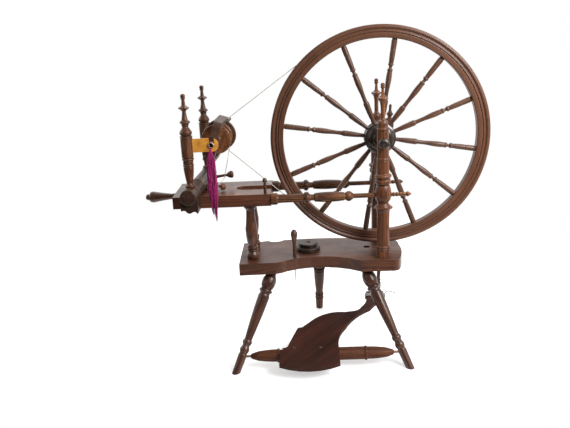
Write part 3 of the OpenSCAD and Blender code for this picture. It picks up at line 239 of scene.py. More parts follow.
# varnished wood, with its grain along a given line
woodLooks = {
    "red": {
        "dark": (0.036, 0.0125, 0.0072), "mid": (0.092, 0.0320, 0.0160), "light": (0.155, 0.0580, 0.0275),
        "worn": (0.240, 0.1050, 0.0560), "rough": (0.28, 0.44), "coat": 0.28, "coatRough": 0.14,
    },
    "matt": {
        "dark": (0.036, 0.0125, 0.0072), "mid": (0.092, 0.0320, 0.0160), "light": (0.155, 0.0580, 0.0275),
        "worn": (0.240, 0.1050, 0.0560), "rough": (0.44, 0.60), "coat": 0.0, "coatRough": 0.30, "spec": 0.14,
    },
    "orange": {
        "dark": (0.050, 0.0160, 0.0075), "mid": (0.135, 0.0460, 0.0190), "light": (0.230, 0.0860, 0.0340),
        "worn": (0.320, 0.1400, 0.0680), "rough": (0.30, 0.44), "coat": 0.14, "coatRough": 0.16,
    },
    "board": {
        "dark": (0.040, 0.0140, 0.0082), "mid": (0.092, 0.0320, 0.0160), "light": (0.145, 0.0540, 0.0260),
        "worn": (0.240, 0.1050, 0.0560), "rough": (0.33, 0.47), "coat": 0.13, "coatRough": 0.18,
    },
    "streaky": {
        "dark": (0.018, 0.0070, 0.0048), "mid": (0.128, 0.0470, 0.0195), "light": (0.400, 0.1650, 0.0620),
        "worn": (0.380, 0.1700, 0.0780), "rough": (0.36, 0.50), "coat": 0.08, "coatRough": 0.20, "spec": 0.24,
    },
    "brown": {
        "dark": (0.052, 0.0210, 0.0115), "mid": (0.112, 0.0480, 0.0260), "light": (0.175, 0.0800, 0.0440),
        "worn": (0.250, 0.1250, 0.0720), "rough": (0.32, 0.48), "coat": 0.18, "coatRough": 0.18,
    },
    "rim": {
        "dark": (0.092, 0.0360, 0.0190), "mid": (0.130, 0.0530, 0.0285), "light": (0.167, 0.0710, 0.0390),
        "worn": (0.250, 0.1300, 0.0780), "rough": (0.34, 0.46), "coat": 0.16, "coatRough": 0.20,
    },
    "dark": {
        "dark": (0.016, 0.0082, 0.0058), "mid": (0.038, 0.0185, 0.0125), "light": (0.068, 0.0340, 0.0220),
        "worn": (0.150, 0.0780, 0.0480), "rough": (0.32, 0.50), "coat": 0.05, "coatRough": 0.18, "spec": 0.20,
    },
    "hub": {
        "dark": (0.014, 0.0082, 0.0060), "mid": (0.033, 0.0190, 0.0132), "light": (0.060, 0.0340, 0.0230),
        "worn": (0.140, 0.0790, 0.0520), "rough": (0.22, 0.36), "coat": 0.58, "coatRough": 0.09, "spec": 0.40,
    },
    "warm": {
        "dark": (0.058, 0.0190, 0.0075), "mid": (0.195, 0.0720, 0.0265), "light": (0.360, 0.1500, 0.0580),
        "worn": (0.340, 0.1650, 0.0750), "rough": (0.30, 0.48), "coat": 0.18, "coatRough": 0.20,
    },
    # the treadle board's dark matt look: partly its own darker wood, partly painted shade for the weaker
    # light low down
    "tread": {
        "dark": (0.020, 0.0060, 0.0035), "mid": (0.041, 0.0123, 0.0070), "light": (0.074, 0.0228, 0.0126),
        "worn": (0.130, 0.0560, 0.0340), "rough": (0.50, 0.66), "coat": 0.0, "coatRough": 0.30, "spec": 0.14,
    },
    "grey": {
        "dark": (0.014, 0.0080, 0.0056), "mid": (0.032, 0.0185, 0.0130), "light": (0.060, 0.0360, 0.0260),
        "worn": (0.210, 0.1380, 0.1000), "rough": (0.34, 0.48), "coat": 0.10, "coatRough": 0.24, "spec": 0.30,
    },
}

# what the tool left: how fine the figure and the cut lines are and how deep the marks; and how dark the
# painted shade in the hollows is
cutMarks = {
    "turned": {
        "figure": (5.0, 66.0, 66.0), "lines": (900.0, 14.0, 14.0),
        "bump": 0.09, "pores": 0.45, "hollow": 0.20,
    },
    "rim": {
        "figure": (3.0, 34.0, 34.0), "lines": (8.0, 800.0, 300.0),
        "bump": 0.04, "pores": 0.26, "hollow": 0.42,
    },
    "sawn": {
        "figure": (3.0, 34.0, 34.0), "lines": (4.0, 60.0, 60.0),
        "bump": 0.14, "pores": 0.50, "hollow": 0.25,
    },
}

# the same in all the woods; a noise is its scale, detail, roughness and distortion
woodGrain = {
    "figureNoise": (1.6, 5.0, 0.62, 0.7), "figureShare": 0.72,
    "rings": {"Scale": 95.0, "Distortion": 5.0, "Detail": 3.0, "Detail Scale": 0.6, "Detail Roughness": 0.6},
    "ringStretch": (0.22, 1.0, 1.0), "ringShare": 0.24, "pith": (0.0, 0.031, 0.022),
    "cloudNoise": (9.0, 2.0, 0.5), "cloudMiddle": 0.5, "cloudShare": 0.35, "toneStops": (0.30, 0.50, 0.70),
    "poreStretch": (26.0, 620.0, 620.0), "poreNoise": (1.0, 2.0, 0.6),
    "poreStops": (0.30, 0.46), "poreDeep": 0.6,
    # the painted shade in the hollows: how far the occlusion reaches, and its ramp
    "hollowReach": 0.012, "hollowStops": (0.40, 0.86),
    "arris": 0.0016, "arrisStops": (0.03, 0.22), "patchNoise": (55.0, 3.0, 0.6), "patchStops": (0.42, 0.66),
    "rubbed": 0.6, "rubbedRough": 0.12,
    "smearNoise": (24.0, 4.0, 0.65), "smearRange": (0.3, 0.7), "spec": 0.34,
    "lineNoise": (1.0, 1.0), "lineHigh": 0.5, "relief": 0.0006,
    "rimTurn": 0.25, "nearAxis": 0.9,
}


def ringPlace(tree, vector):
    # the same place counted round the wheel, so that the figure follows the rim
    split = addNode(tree, "ShaderNodeSeparateXYZ")
    wire(tree, vector, split.inputs[0])
    x, y, z = split.outputs[0], split.outputs[1], split.outputs[2]
    out = maths(tree, "SQRT", plus(tree, times(tree, x, x), times(tree, z, z)))
    joined = addNode(tree, "ShaderNodeCombineXYZ")
    wire(tree, times(tree, maths(tree, "ARCTAN2", z, x), woodGrain["rimTurn"]), joined.inputs[0])
    wire(tree, out, joined.inputs[1])
    wire(tree, y, joined.inputs[2])
    return joined.outputs[0]


def grainTurn(ahead):
    # X along the grain, and Y as near as it can be to the wheel's axis
    level = Vector(acrossY if abs(ahead.y) < woodGrain["nearAxis"] else upright)
    third = ahead.cross(level).normalized()
    return Matrix((ahead, third.cross(ahead), third)).transposed().to_euler()


def varnishedWood(name, look, along, centre, cut, toneAndPaintedLight):
    looks, marks, grain = woodLooks[look], cutMarks[cut], woodGrain
    tones = {key: tuple(toneAndPaintedLight * value for value in looks[key]) for key in ("dark", "mid", "light", "worn")}
    material, tree, shader, coords = startMaterial(name)
    mapping = addNode(tree, "ShaderNodeMapping", {
        "Location": centre, "Rotation": grainTurn(Vector(along).normalized())}, vector_type="TEXTURE")
    wire(tree, coords, mapping.inputs["Vector"])
    spot = mapping.outputs["Vector"]
    if cut == "rim":
        spot = ringPlace(tree, spot)

    # long figure, growth rings off the pith, and short pores
    figure = noiseOf(tree, stretched(tree, spot, marks["figure"]), *grain["figureNoise"])
    offPith = vectorMaths(tree, "ADD", spot, grain["pith"]).outputs[0]
    rings = addNode(tree, "ShaderNodeTexWave", grain["rings"],
                    wave_type="RINGS", rings_direction="X", wave_profile="SAW")
    wire(tree, stretched(tree, offPith, grain["ringStretch"]), rings.inputs["Vector"])
    pores = noiseOf(tree, stretched(tree, spot, grain["poreStretch"]), *grain["poreNoise"])
    poreMark = maskOf(tree, pores, grain["poreStops"], (1.0, 0.0))
    cloud = maths(tree, "SUBTRACT", noiseOf(tree, spot, *grain["cloudNoise"]), grain["cloudMiddle"])

    tone = times(tree, figure, grain["figureShare"])
    tone = plus(tree, tone, times(tree, rings.outputs["Fac"], grain["ringShare"]))
    tone = plus(tree, tone, times(tree, cloud, grain["cloudShare"]))
    colour = rampOf(tree, tone, grain["toneStops"], (tones["dark"], tones["mid"], tones["light"]))
    colour = mixColour(tree, times(tree, poreMark, marks["pores"]), colour, tones["dark"])

    # painted shade: an occlusion node darkens the turned grooves and hollows; and the arrises are rubbed
    # lighter
    wear, softNormal = arrisWear(tree, grain["arris"])
    shade = addNode(tree, "ShaderNodeAmbientOcclusion", {"Distance": grain["hollowReach"]},
                    samples=6, only_local=True)
    hollows = maskOf(tree, shade.outputs["AO"], grain["hollowStops"], (marks["hollow"], 1.0))
    colour = mixColour(tree, 1.0, colour, hollows, "MULTIPLY")
    patches = maskOf(tree, noiseOf(tree, spot, *grain["patchNoise"]), grain["patchStops"])
    rubbed = times(tree, maskOf(tree, wear, grain["arrisStops"]), patches)
    colour = mixColour(tree, times(tree, rubbed, grain["rubbed"]), colour, tones["worn"])
    wire(tree, colour, shader.inputs["Base Color"])

    gloss = rangeOf(tree, noiseOf(tree, spot, *grain["smearNoise"]), looks["rough"], grain["smearRange"])
    rough = plus(tree, gloss, times(tree, rubbed, grain["rubbedRough"]), True)
    wire(tree, rough, shader.inputs["Roughness"])
    setSockets(shader, {"Coat Weight": looks["coat"], "Coat Roughness": looks["coatRough"],
                        "Specular IOR Level": looks.get("spec", grain["spec"])})

    # pores, and the faint lines that a turning tool leaves
    lines = noiseOf(tree, stretched(tree, spot, marks["lines"]), *grain["lineNoise"])
    raised = times(tree, lines, grain["lineHigh"])
    height = maths(tree, "SUBTRACT", raised, times(tree, poreMark, grain["poreDeep"]))
    wire(tree, bumpOf(tree, height, marks["bump"], grain["relief"], softNormal), shader.inputs["Normal"])
    return material


# forged iron, drawn wire and old brass share one build
ironLook = {
    "dark": (0.020, 0.019, 0.019), "light": (0.115, 0.108, 0.104), "rust": (0.060, 0.030, 0.018),
    "rough": (0.30, 0.56), "metallic": 0.9,
    "blotchNoise": (160.0, 5.0, 0.65, 0.4), "blotchStops": (0.30, 0.70),
    "rustNoise": (60.0, 4.0, 0.7), "rustStops": (0.58, 0.74), "rustMost": 0.7,
    "arris": 0.0008, "arrisStops": (0.04, 0.25), "rubbed": 0.6, "rubbedBright": 2.4,
    "fineNoise": (900.0, 3.0, 0.6), "fineShare": 0.35, "bump": 0.22, "relief": 0.0004,
}


def forgedIron(name, bright, warmth):
    look = ironLook
    material, tree, shader, coords = startMaterial(name)
    blotch = noiseOf(tree, coords, *look["blotchNoise"])
    light = tuple(bright * v * w for v, w in zip(look["light"], warmth))
    colour = rampOf(tree, blotch, look["blotchStops"], (look["dark"], light))
    rust = maskOf(tree, noiseOf(tree, coords, *look["rustNoise"]), look["rustStops"], (0.0, look["rustMost"]))
    colour = mixColour(tree, rust, colour, look["rust"])
    wear, softNormal = arrisWear(tree, look["arris"])
    edge = times(tree, maskOf(tree, wear, look["arrisStops"]), look["rubbed"])
    colour = mixColour(tree, edge, colour, tuple(look["rubbedBright"] * v for v in light))
    wire(tree, colour, shader.inputs["Base Color"])
    wire(tree, rangeOf(tree, blotch, look["rough"]), shader.inputs["Roughness"])
    setSockets(shader, {"Metallic": look["metallic"]})
    fine = noiseOf(tree, coords, *look["fineNoise"])
    height = plus(tree, blotch, times(tree, fine, look["fineShare"]))
    wire(tree, bumpOf(tree, height, look["bump"], look["relief"], softNormal), shader.inputs["Normal"])
    return material


# thick tan leather, with creases on its face and a paler fibrous cut edge
leatherLook = {
    "deep": (0.640, 0.245, 0.028), "mid": (0.860, 0.380, 0.052), "pale": (0.900, 0.470, 0.095),
    "edge": (0.660, 0.370, 0.130), "rough": (0.42, 0.66), "spec": 0.35,
    "stainNoise": (70.0, 5.0, 0.62, 0.3), "stainStops": (0.28, 0.50, 0.78),
    "cells": 1500.0, "creaseStops": (0.0, 0.16), "creaseShare": 0.35, "creaseHigh": 0.5,
    "cutStops": (0.35, 0.75), "fibreStretch": (260.0, 2600.0, 260.0), "fibreNoise": (1.0, 3.0, 0.7),
    "arris": 0.0009, "arrisStops": (0.03, 0.30), "arrisMost": 0.55, "bump": 0.35, "relief": 0.0004,
}


def tanLeather(name):
    look = leatherLook
    material, tree, shader, coords = startMaterial(name)
    stain = noiseOf(tree, coords, *look["stainNoise"])
    colour = rampOf(tree, stain, look["stainStops"], (look["deep"], look["mid"], look["pale"]))
    cells = addNode(tree, "ShaderNodeTexVoronoi", {"Scale": look["cells"]}, feature="DISTANCE_TO_EDGE")
    wire(tree, coords, cells.inputs["Vector"])
    creases = maskOf(tree, cells.outputs["Distance"], look["creaseStops"])
    creased = mixColour(tree, 1.0, colour, creases, "MULTIPLY")
    colour = mixColour(tree, look["creaseShare"], colour, creased)

    # the sides across the strap's face are cut fibres
    surface = addNode(tree, "ShaderNodeNewGeometry")
    facing = addNode(tree, "ShaderNodeSeparateXYZ")
    wire(tree, surface.outputs["Normal"], facing.inputs[0])
    cut = maskOf(tree, maths(tree, "ABSOLUTE", facing.outputs["Y"]), look["cutStops"], (1.0, 0.0))
    fibres = noiseOf(tree, stretched(tree, coords, look["fibreStretch"]), *look["fibreNoise"])
    colour = mixColour(tree, cut, colour, mixColour(tree, fibres, look["deep"], look["edge"]))
    wear, softNormal = arrisWear(tree, look["arris"])
    grimy = maskOf(tree, wear, look["arrisStops"], (0.0, look["arrisMost"]))
    colour = mixColour(tree, grimy, colour, look["deep"])
    wire(tree, colour, shader.inputs["Base Color"])
    wire(tree, rangeOf(tree, stain, look["rough"]), shader.inputs["Roughness"])
    setSockets(shader, {"Specular IOR Level": look["spec"]})
    height = plus(tree, times(tree, creases, look["creaseHigh"]), stain)
    wire(tree, bumpOf(tree, height, look["bump"], look["relief"], softNormal), shader.inputs["Normal"])
    return material


# spun fibre: cotton cord, leather thong and dyed wool share one build
fibreLooks = {
    "cord": {
        "dark": (0.400, 0.370, 0.280), "mid": (0.600, 0.570, 0.470), "light": (0.740, 0.720, 0.640),
        "sheen": 0.25, "rough": 0.85, "scale": 420.0,
    },
    "lace": {
        "dark": (0.170, 0.145, 0.125), "mid": (0.360, 0.320, 0.280), "light": (0.600, 0.560, 0.510),
        "sheen": 0.10, "rough": 0.62, "scale": 300.0,
    },
    "wool": {
        "dark": (0.150, 0.0050, 0.052), "mid": (0.350, 0.0150, 0.132), "light": (0.520, 0.0480, 0.236),
        "sheen": 0.20, "rough": 0.72, "scale": 160.0,
    },
}
fibreBuild = {
    "coarse": (4.0, 0.6), "coarseShare": 0.6, "fine": (3.0, 0.7), "finer": 9.0, "fineShare": 0.4,
    "toneStops": (0.32, 0.50, 0.70), "sheenRough": 0.4, "spec": 0.25, "bump": 0.4, "relief": 0.0004,
}


def spunFibre(name, look):
    looks, build = fibreLooks[look], fibreBuild
    material, tree, shader, coords = startMaterial(name)
    coarse = noiseOf(tree, coords, looks["scale"], *build["coarse"])
    fine = noiseOf(tree, coords, looks["scale"] * build["finer"], *build["fine"])
    tone = plus(tree, times(tree, coarse, build["coarseShare"]), times(tree, fine, build["fineShare"]))
    colour = rampOf(tree, tone, build["toneStops"], (looks["dark"], looks["mid"], looks["light"]))
    wire(tree, colour, shader.inputs["Base Color"])
    setSockets(shader, {"Roughness": looks["rough"], "Sheen Weight": looks["sheen"],
                        "Sheen Roughness": build["sheenRough"], "Specular IOR Level": build["spec"]})
    wire(tree, bumpOf(tree, fine, build["bump"], build["relief"]), shader.inputs["Normal"])
    return material


def legLine(side):
    tx, ty, tz = place["legTop"]
    px, py, pz = place["legFoot"]
    return (side * (px - tx), -(py - ty), pz - tz)


# each wooden node's look, the line of its grain, its cut, and how light its tone is; the legs, the treadle
# board and the back twins rail_back, maiden_back and wheel_post_back are set darker, partly as painted shade
# where less light reaches them
woodNodes = {
    "bench": ("board", acrossX, "sawn", 1.0),
    "leg_front_left": ("red", legLine(-1), "turned", 0.77),
    "leg_front_right": ("red", legLine(1), "turned", 0.80),
    "leg_back": ("matt", (0, place["backFoot"] - place["backTop"], -place["legTop"][2]), "turned", 0.78),
    "wheel_post_front": ("orange", upright, "turned", 1.18),
    "wheel_post_back": ("orange", upright, "turned", 0.90),
    "upper_table": ("red", acrossX, "sawn", 1.15),
    "table_post_front": ("red", upright, "turned", 1.05),
    "table_post_back": ("red", upright, "turned", 1.0),
    "rail_front": ("streaky", acrossX, "turned", 0.95),
    "rail_back": ("streaky", acrossX, "turned", 0.60),
    "rail_peg": ("red", upright, "turned", 0.8),
    "tension_screw": ("red", acrossX, "turned", 1.15),
    "mother_of_all": ("dark", acrossY, "turned", 1.4),
    "moa_bracket": ("dark", acrossX, "sawn", 0.9),
    "moa_tongue": ("dark", upright, "sawn", 0.9),
    "maiden_front": ("orange", upright, "turned", 0.86),
    "maiden_back": ("orange", upright, "turned", 0.62),
    "brake_peg": ("red", acrossX, "turned", 0.8),
    "brake_anchor": ("orange", acrossX, "turned", 1.1),
    "flyer_arms": ("dark", acrossY, "sawn", 2.0),
    "flyer_whorl": ("brown", acrossX, "turned", 0.8),
    "bobbin": ("warm", acrossY, "turned", 1.0),
    "hub": ("hub", acrossY, "turned", 1.0),
    "footman": ("dark", (0.07, 0, 1), "turned", 2.5),
    "treadle_bar": ("matt", acrossX, "turned", 1.05),
    "treadle_board": ("tread", (0.72, 0.68, 0.14), "sawn", 1.0),
    "orifice_hook_handle": ("red", upright, "turned", 0.9),
    "spare_whorl": ("grey", acrossX, "turned", 1.0),
}
# each spoke and felloe is its own stick with its own tone, set as painted light and shade: the sticks on the
# wheel's right are lighter, those on its left and the upright spokes darker
stickPaintedLight = {
    "spoke": (1.12, 0.98, 0.96, 0.84, 0.90, 0.92, 0.96, 1.0, 0.74, 0.86, 1.04, 1.02),
    "felloe": (1.04, 0.92, 1.0, 1.12),
}
for index, toneAndPaintedLight in enumerate(stickPaintedLight["spoke"], 1):
    woodNodes["spoke_%d" % index] = ("brown", None, "turned", toneAndPaintedLight)
for index, toneAndPaintedLight in enumerate(stickPaintedLight["felloe"], 1):
    woodNodes["felloe_%d" % index] = ("rim", None, "rim", toneAndPaintedLight)


def dress(node, material):
    target = nodes[node]
    if not target.material_slots:
        target.data.materials.append(material)
    for slot in target.material_slots:
        slot.material = material


def middle(node):
    low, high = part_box(node)
    return (low + high) / 2


for node, (look, along, cut, toneAndPaintedLight) in woodNodes.items():
    centre = middle(node)
    if along is None:  # out from the axle
        along = Vector((centre.x - place["axle"].x, 0, centre.z - place["axle"].z))
        centre = place["axle"] if cut == "rim" else centre
    dress(node, varnishedWood("wood_" + node, look, along, centre, cut, toneAndPaintedLight))

# each metal's brightness, its warmth and the nodes that have it
metalNodes = {
    "darkIron": (1.15, (1.20, 0.98, 0.84), ("axle_crank", "flyer_spindle", "flyer_hooks")),
    "drawnWire": (2.2, (1.0, 1.0, 1.0), ("orifice_hook_wire",)),
    "wornBrass": (7.5, (1.15, 0.90, 0.64), ("orifice_tube",)),
    "oldBrass": (3.4, (1.25, 0.80, 0.42), ("treadle_pins", "axle_bushes")),
    "dullBrass": (1.5, (1.20, 0.84, 0.56), ("treadle_nails",)),
}
for finish, (bright, warmth, members) in metalNodes.items():
    metal = forgedIron(finish, bright, warmth)
    for node in members:
        dress(node, metal)
for node in ("leather_front", "leather_back"):
    dress(node, tanLeather("tan_" + node))
print("finishes on", len(woodNodes), "wooden nodes")


# cords: strands laid round a centre line; thick and off are shares of the cord's radius
strandShape = {"thick": 0.56, "off": 0.46, "fewestSteps": 8}


def lengthOf(path, closed=False):
    pairs = zip(path, path[1:] + path[:1] if closed else path[1:])
    return sum((b - a).length for a, b in pairs)


def evenPoints(path, step, closed=False):
    # the same line cut into equal steps
    run = path + path[:1] if closed else list(path)
    total = lengthOf(run)
    count = max(strandShape["fewestSteps"], round(total / step))
    points, leg, gone = [], 0, 0.0
    for k in range(count if closed else count + 1):
        want = total * k / count
        while leg < len(run) - 2 and gone + (run[leg + 1] - run[leg]).length < want:
            gone += (run[leg + 1] - run[leg]).length
            leg += 1
        span = (run[leg + 1] - run[leg]).length
        points.append(run[leg].lerp(run[leg + 1], min(1.0, (want - gone) / span)))
    return points


def roundCurve(name, thick):
    curve = bpy.data.curves.new(name, "CURVE")
    curve.dimensions = "3D"
    curve.bevel_depth = thick
    curve.bevel_resolution = 1
    curve.use_fill_caps = True
    return curve


def asMesh(curve):
    wires = bpy.data.objects.new(curve.name, curve)
    scene.collection.objects.link(wires)
    graph = bpy.context.evaluated_depsgraph_get()
    mesh = bpy.data.meshes.new_from_object(wires.evaluated_get(graph))
    bpy.data.objects.remove(wires)
    solid = bpy.data.objects.new(curve.name, mesh)
    scene.collection.objects.link(solid)
    for face in mesh.polygons:
        face.use_smooth = True
    return solid


def laidCord(name, path, settings, closed=False):
    points = evenPoints(path, settings["step"], closed)
    turns = round(lengthOf(points, closed) / settings["lay"])
    count, strands, radius = len(points), settings["strands"], settings["radius"]
    side = Vector(settings["side"])
    curve = roundCurve(name, radius * strandShape["thick"])
    for strand in range(strands):
        spline = curve.splines.new("POLY")
        spline.points.add(count - 1)
        spline.use_cyclic_u = closed
        for k, point in enumerate(points):
            after = points[(k + 1) % count] if closed or k < count - 1 else point
            before = points[k - 1] if closed or k > 0 else point
            ahead = (after - before).normalized()
            u = ahead.cross(side).normalized()
            w = u.cross(ahead)
            angle = 2 * math.pi * (turns * k / (count if closed else count - 1) + strand / strands)
            spot = point + radius * strandShape["off"] * (math.cos(angle) * u + math.sin(angle) * w)
            spline.points[k].co = (*spot, 1)
    return asMesh(curve), points


# drive band: round the wheel's groove and the whorl's
bandSet = {
    "radius": 0.0012, "strands": 2, "lay": 0.0052, "step": 0.0013, "side": acrossY,
    "wheelR": 0.2585, "wheelSteps": 96, "whorlR": 0.0195, "whorlSteps": 24,
}


def driveBandPath():
    axle, flyer, wheelR, whorlR = place["axle"], place["flyer"], bandSet["wheelR"], bandSet["whorlR"]
    span = flyer - axle
    lean = math.atan2(span.z, span.x)
    opening = math.acos((wheelR - whorlR) / span.length)
    path = []
    for k in range(bandSet["wheelSteps"] + 1):
        t = lean + opening + (2 * math.pi - 2 * opening) * k / bandSet["wheelSteps"]
        path.append(axle + wheelR * Vector((math.cos(t), 0, math.sin(t))))
    for k in range(bandSet["whorlSteps"] + 1):
        t = lean - opening + 2 * opening * k / bandSet["whorlSteps"]
        path.append(onLine(whorlR * math.cos(t), 0, whorlR * math.sin(t)))
    return path


cordFinish = spunFibre("cottonCord", "cord")
bandPath = driveBandPath()
driveBand = laidCord("driveBand", bandPath, bandSet, True)[0]
driveBand.data.materials.append(cordFinish)
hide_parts("drive_band")
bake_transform(driveBand)
print("drive band, metres:", round(lengthOf(bandPath, True), 3))

# brake cord: from the anchor over the bobbin's pulley, past the peg's neck and back
brakeSet = {
    "radius": 0.0009, "strands": 2, "lay": 0.0042, "step": 0.0011, "side": (0.3, 1, 0.2),
    "loopR": 0.0272, "grooveY": -0.0133, "loopFrom": 182, "loopTurn": 195, "loopSteps": 26,
    "drop": 0.066, "upRun": 0.001, "downRun": 0.013,  # where the two runs stand below the pulley
    "pegY": 0.040, "pegFront": 0.0354, "neck": (0.0545, 7),  # reach from the bar, and lean in degrees
    "anchorY": -0.022, "anchorFront": -0.0268, "anchor": (0.047, -8),
    "start": [(-0.012, -0.006), (-0.013, 0.006)],  # steps across and up, off the anchor
    "pastNeck": [(0.001, 0.008), (0.0, 0.0), (-0.003, -0.008)],  # off the peg's neck
    "slack": (0.004, -0.004), "finish": [(0.0, 0.005), (-0.001, -0.009)],
}


def brakePath():
    s = brakeSet
    grooveY, pegFront, anchorFront = s["grooveY"], s["pegFront"], s["anchorFront"]

    def reach(y, out, tilt):
        lean = math.radians(tilt)
        return Vector((barX(y) + out * math.cos(lean), y, place["moa"].z + out * math.sin(lean)))

    def stepsOff(point, front, steps):
        return [Vector((point.x + across, front, point.z + rise)) for across, rise in steps]

    neck = reach(s["pegY"], *s["neck"])
    anchor = reach(s["anchorY"], *s["anchor"])
    path = stepsOff(anchor, anchorFront, s["start"])
    path.append(onLine(s["upRun"] - s["loopR"], grooveY, -s["drop"]))
    for k in range(s["loopSteps"] + 1):
        t = math.radians(s["loopFrom"] - s["loopTurn"] * k / s["loopSteps"])
        path.append(onLine(s["loopR"] * math.cos(t), grooveY, s["loopR"] * math.sin(t)))
    path.append(onLine(s["downRun"], grooveY, -s["drop"]))
    path += stepsOff(neck, pegFront, s["pastNeck"])
    across, back = s["slack"]
    path.append(Vector((anchor.x + across, (pegFront + anchorFront) / 2 + back, (neck.z + anchor.z) / 2)))
    return path + stepsOff(anchor, anchorFront, s["finish"])


brakeCord, brakePoints = laidCord("brakeCord", brakePath(), brakeSet)
brakeCord.data.materials.append(cordFinish)
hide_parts("brake_cord")
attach(brakeCord, "mother_of_all")
lengthOf(brakePoints)
print("brake cord, metres:", round(lengthOf(brakePoints), 3))

# lace: wound round the tip of the treadle's arm, with a loose end
laceSet = {
    "radius": 0.0016, "strands": 2, "lay": 0.0075, "step": 0.0016, "side": (0, 1, 0.05),
    "loops": 3, "pitch": 0.0044, "start": 0.21198, "off": 0.0019, "cornerSteps": 5,
    "tipX": 0.152, "half": 0.024, "low": 0.006, "thick": 0.010,  # the arm's section
    "clear": 0.001,
    "tail": [(0.006, 0.001, 0.002), (0.012, 0.002, 0.004), (0.022, 0.003, 0.001), (0.034, 0.004, -0.005)],
    "tilt": 12.0, "pivot": (0.001, -0.14808, 0.034),
}


def lacePath():
    s = laceSet
    top, low, half, off, steps = s["low"] + s["thick"], s["low"], s["half"], s["off"], s["cornerSteps"]
    corners = [(half, top), (-half, top), (-half, low), (half, low)]
    path = []
    for c in range(4 * s["loops"]):
        cornerX, cornerZ = corners[c % 4]
        for k in range(steps + 1):
            t = math.radians(90 * (c % 4) + 90 * k / steps)
            path.append(Vector((s["tipX"] + cornerX + off * math.cos(t),
                                s["start"] + s["pitch"] * (c + k / steps) / 4, cornerZ + off * math.sin(t))))
    end = s["start"] + s["pitch"] * s["loops"]
    tail = [(half + off + s["clear"], 0, low + s["thick"] / 2)]
    tail += [(half + x, y, top + z) for x, y, z in s["tail"]]
    path += [Vector((s["tipX"] + x, end + y, z)) for x, y, z in tail]
    turn = Matrix.Translation(s["pivot"]) @ Matrix.Rotation(math.radians(s["tilt"]), 4, "X")
    return [turn @ p for p in path]


footmanLace, lacePoints = laidCord("footmanLace", lacePath(), laceSet)
footmanLace.data.materials.append(spunFibre("thongFinish", "lace"))
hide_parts("footman_lace")
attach(footmanLace, "treadle")
lengthOf(lacePoints)
print("lace, metres:", round(lengthOf(lacePoints), 3))

# wool: two locks of combed fibre that hang from the orifice
woolSet = {
    "seed": 7, "top": (-0.2349, -0.1309, 0.5464), "points": 26,
    "locks": [
        {"count": 46, "end": (-0.2372, -0.1400, 0.3900), "wide": 0.0068, "deep": 0.0056, "lean": -0.0034},
        {"count": 42, "end": (-0.2300, -0.1425, 0.3730), "wide": 0.0054, "deep": 0.0056, "lean": 0.0030},
    ],
    "thick": (0.0008, 0.0016), "thinFrom": 0.12, "thinSpan": 0.88, "thinPower": 0.55, "thinnest": 0.12,
    "wisps": 34, "wispThick": 0.00022, "stray": 0.0035, "strayShare": (0.2, 1.0),
    "core": 0.35, "coreReach": (0.88, 1.0), "outerReach": (0.72, 1.0),
    "wave": (0.0006, 0.0016), "waves": (1.2, 2.6), "round": 6.28, "waveRise": 6,
    "crossPhase": 1.7, "crossRound": 5.1, "bow": 1.15,
    "tuck": 0.16, "tuckPower": 0.75, "taper": 0.82, "taperFrom": 0.55, "taperSpan": 0.45, "taperPower": 1.3,
}


def hangingWool():
    w = woolSet
    draw = random.Random(w["seed"])
    curve = roundCurve("woolRoving", 1.0)
    top, count = Vector(w["top"]), w["points"]

    def strand(lock, thick, loose):
        end = Vector(lock["end"])
        angle, spread = draw.uniform(0, 2 * math.pi), math.sqrt(draw.random())
        ox, oy = spread * lock["wide"] * math.cos(angle), spread * lock["deep"] * math.sin(angle)
        reach = draw.uniform(*w["outerReach"]) if spread > w["core"] else draw.uniform(*w["coreReach"])
        wave, phase, turn = draw.uniform(*w["wave"]), draw.uniform(0, w["round"]), draw.uniform(*w["waves"])
        spline = curve.splines.new("POLY")
        spline.points.add(count - 1)
        for k in range(count):
            t = k / (count - 1)
            s = t * reach
            tapered = max(0.0, (s - w["taperFrom"]) / w["taperSpan"]) ** w["taperPower"]
            fill = min(1.0, (s / w["tuck"]) ** w["tuckPower"]) * (1.0 - w["taper"] * tapered)
            centre = top.lerp(end, s)
            centre.x += lock["lean"] * math.sin(math.pi * min(1.0, s * w["bow"]))
            rise = min(1.0, s * w["waveRise"])
            sway = wave * math.sin(phase + turn * w["round"] * s) * rise
            side = wave * math.cos(phase * w["crossPhase"] + turn * w["crossRound"] * s) * rise
            stray = loose * t * t
            spot = centre + Vector((ox * fill + sway + stray * math.cos(angle),
                                    oy * fill + side + stray * math.sin(angle), 0))
            spline.points[k].co = (*spot, 1)
            body = math.sin(math.pi * min(1.0, w["thinFrom"] + w["thinSpan"] * t)) ** w["thinPower"]
            spline.points[k].radius = thick * max(w["thinnest"], body)

    for lock in w["locks"]:
        for _ in range(lock["count"]):
            strand(lock, draw.uniform(*w["thick"]), 0.0)
    for _ in range(w["wisps"]):
        strand(draw.choice(w["locks"]), w["wispThick"], draw.uniform(*w["strayShare"]) * w["stray"])
    return asMesh(curve)


wool = hangingWool()
wool.data.materials.append(spunFibre("purpleWool", "wool"))
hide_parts("wool_roving")
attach(wool, "mother_of_all")
print("wool faces:", len(wool.data.polygons))

# floor: a round sheet of pale paper, lifted to white where it is seen
floorSet = {
    "mid": (-0.05, 0.45, 0.0), "radius": 1.05, "sides": 96, "fade": (0.66, 1.0), "lift": 0.50,
    "colour": (0.86, 0.86, 0.865), "dim": 0.985, "noise": (700.0, 3.0, 0.6), "stops": (0.2, 0.8),
    "rough": 0.9, "spec": 0.1,
}


def seenDirectly(tree):
    path = addNode(tree, "ShaderNodeLightPath")
    seen = maths(tree, "MAXIMUM", path.outputs["Is Camera Ray"], path.outputs["Is Glossy Ray"])
    return maths(tree, "MAXIMUM", seen, path.outputs["Is Transmission Ray"])


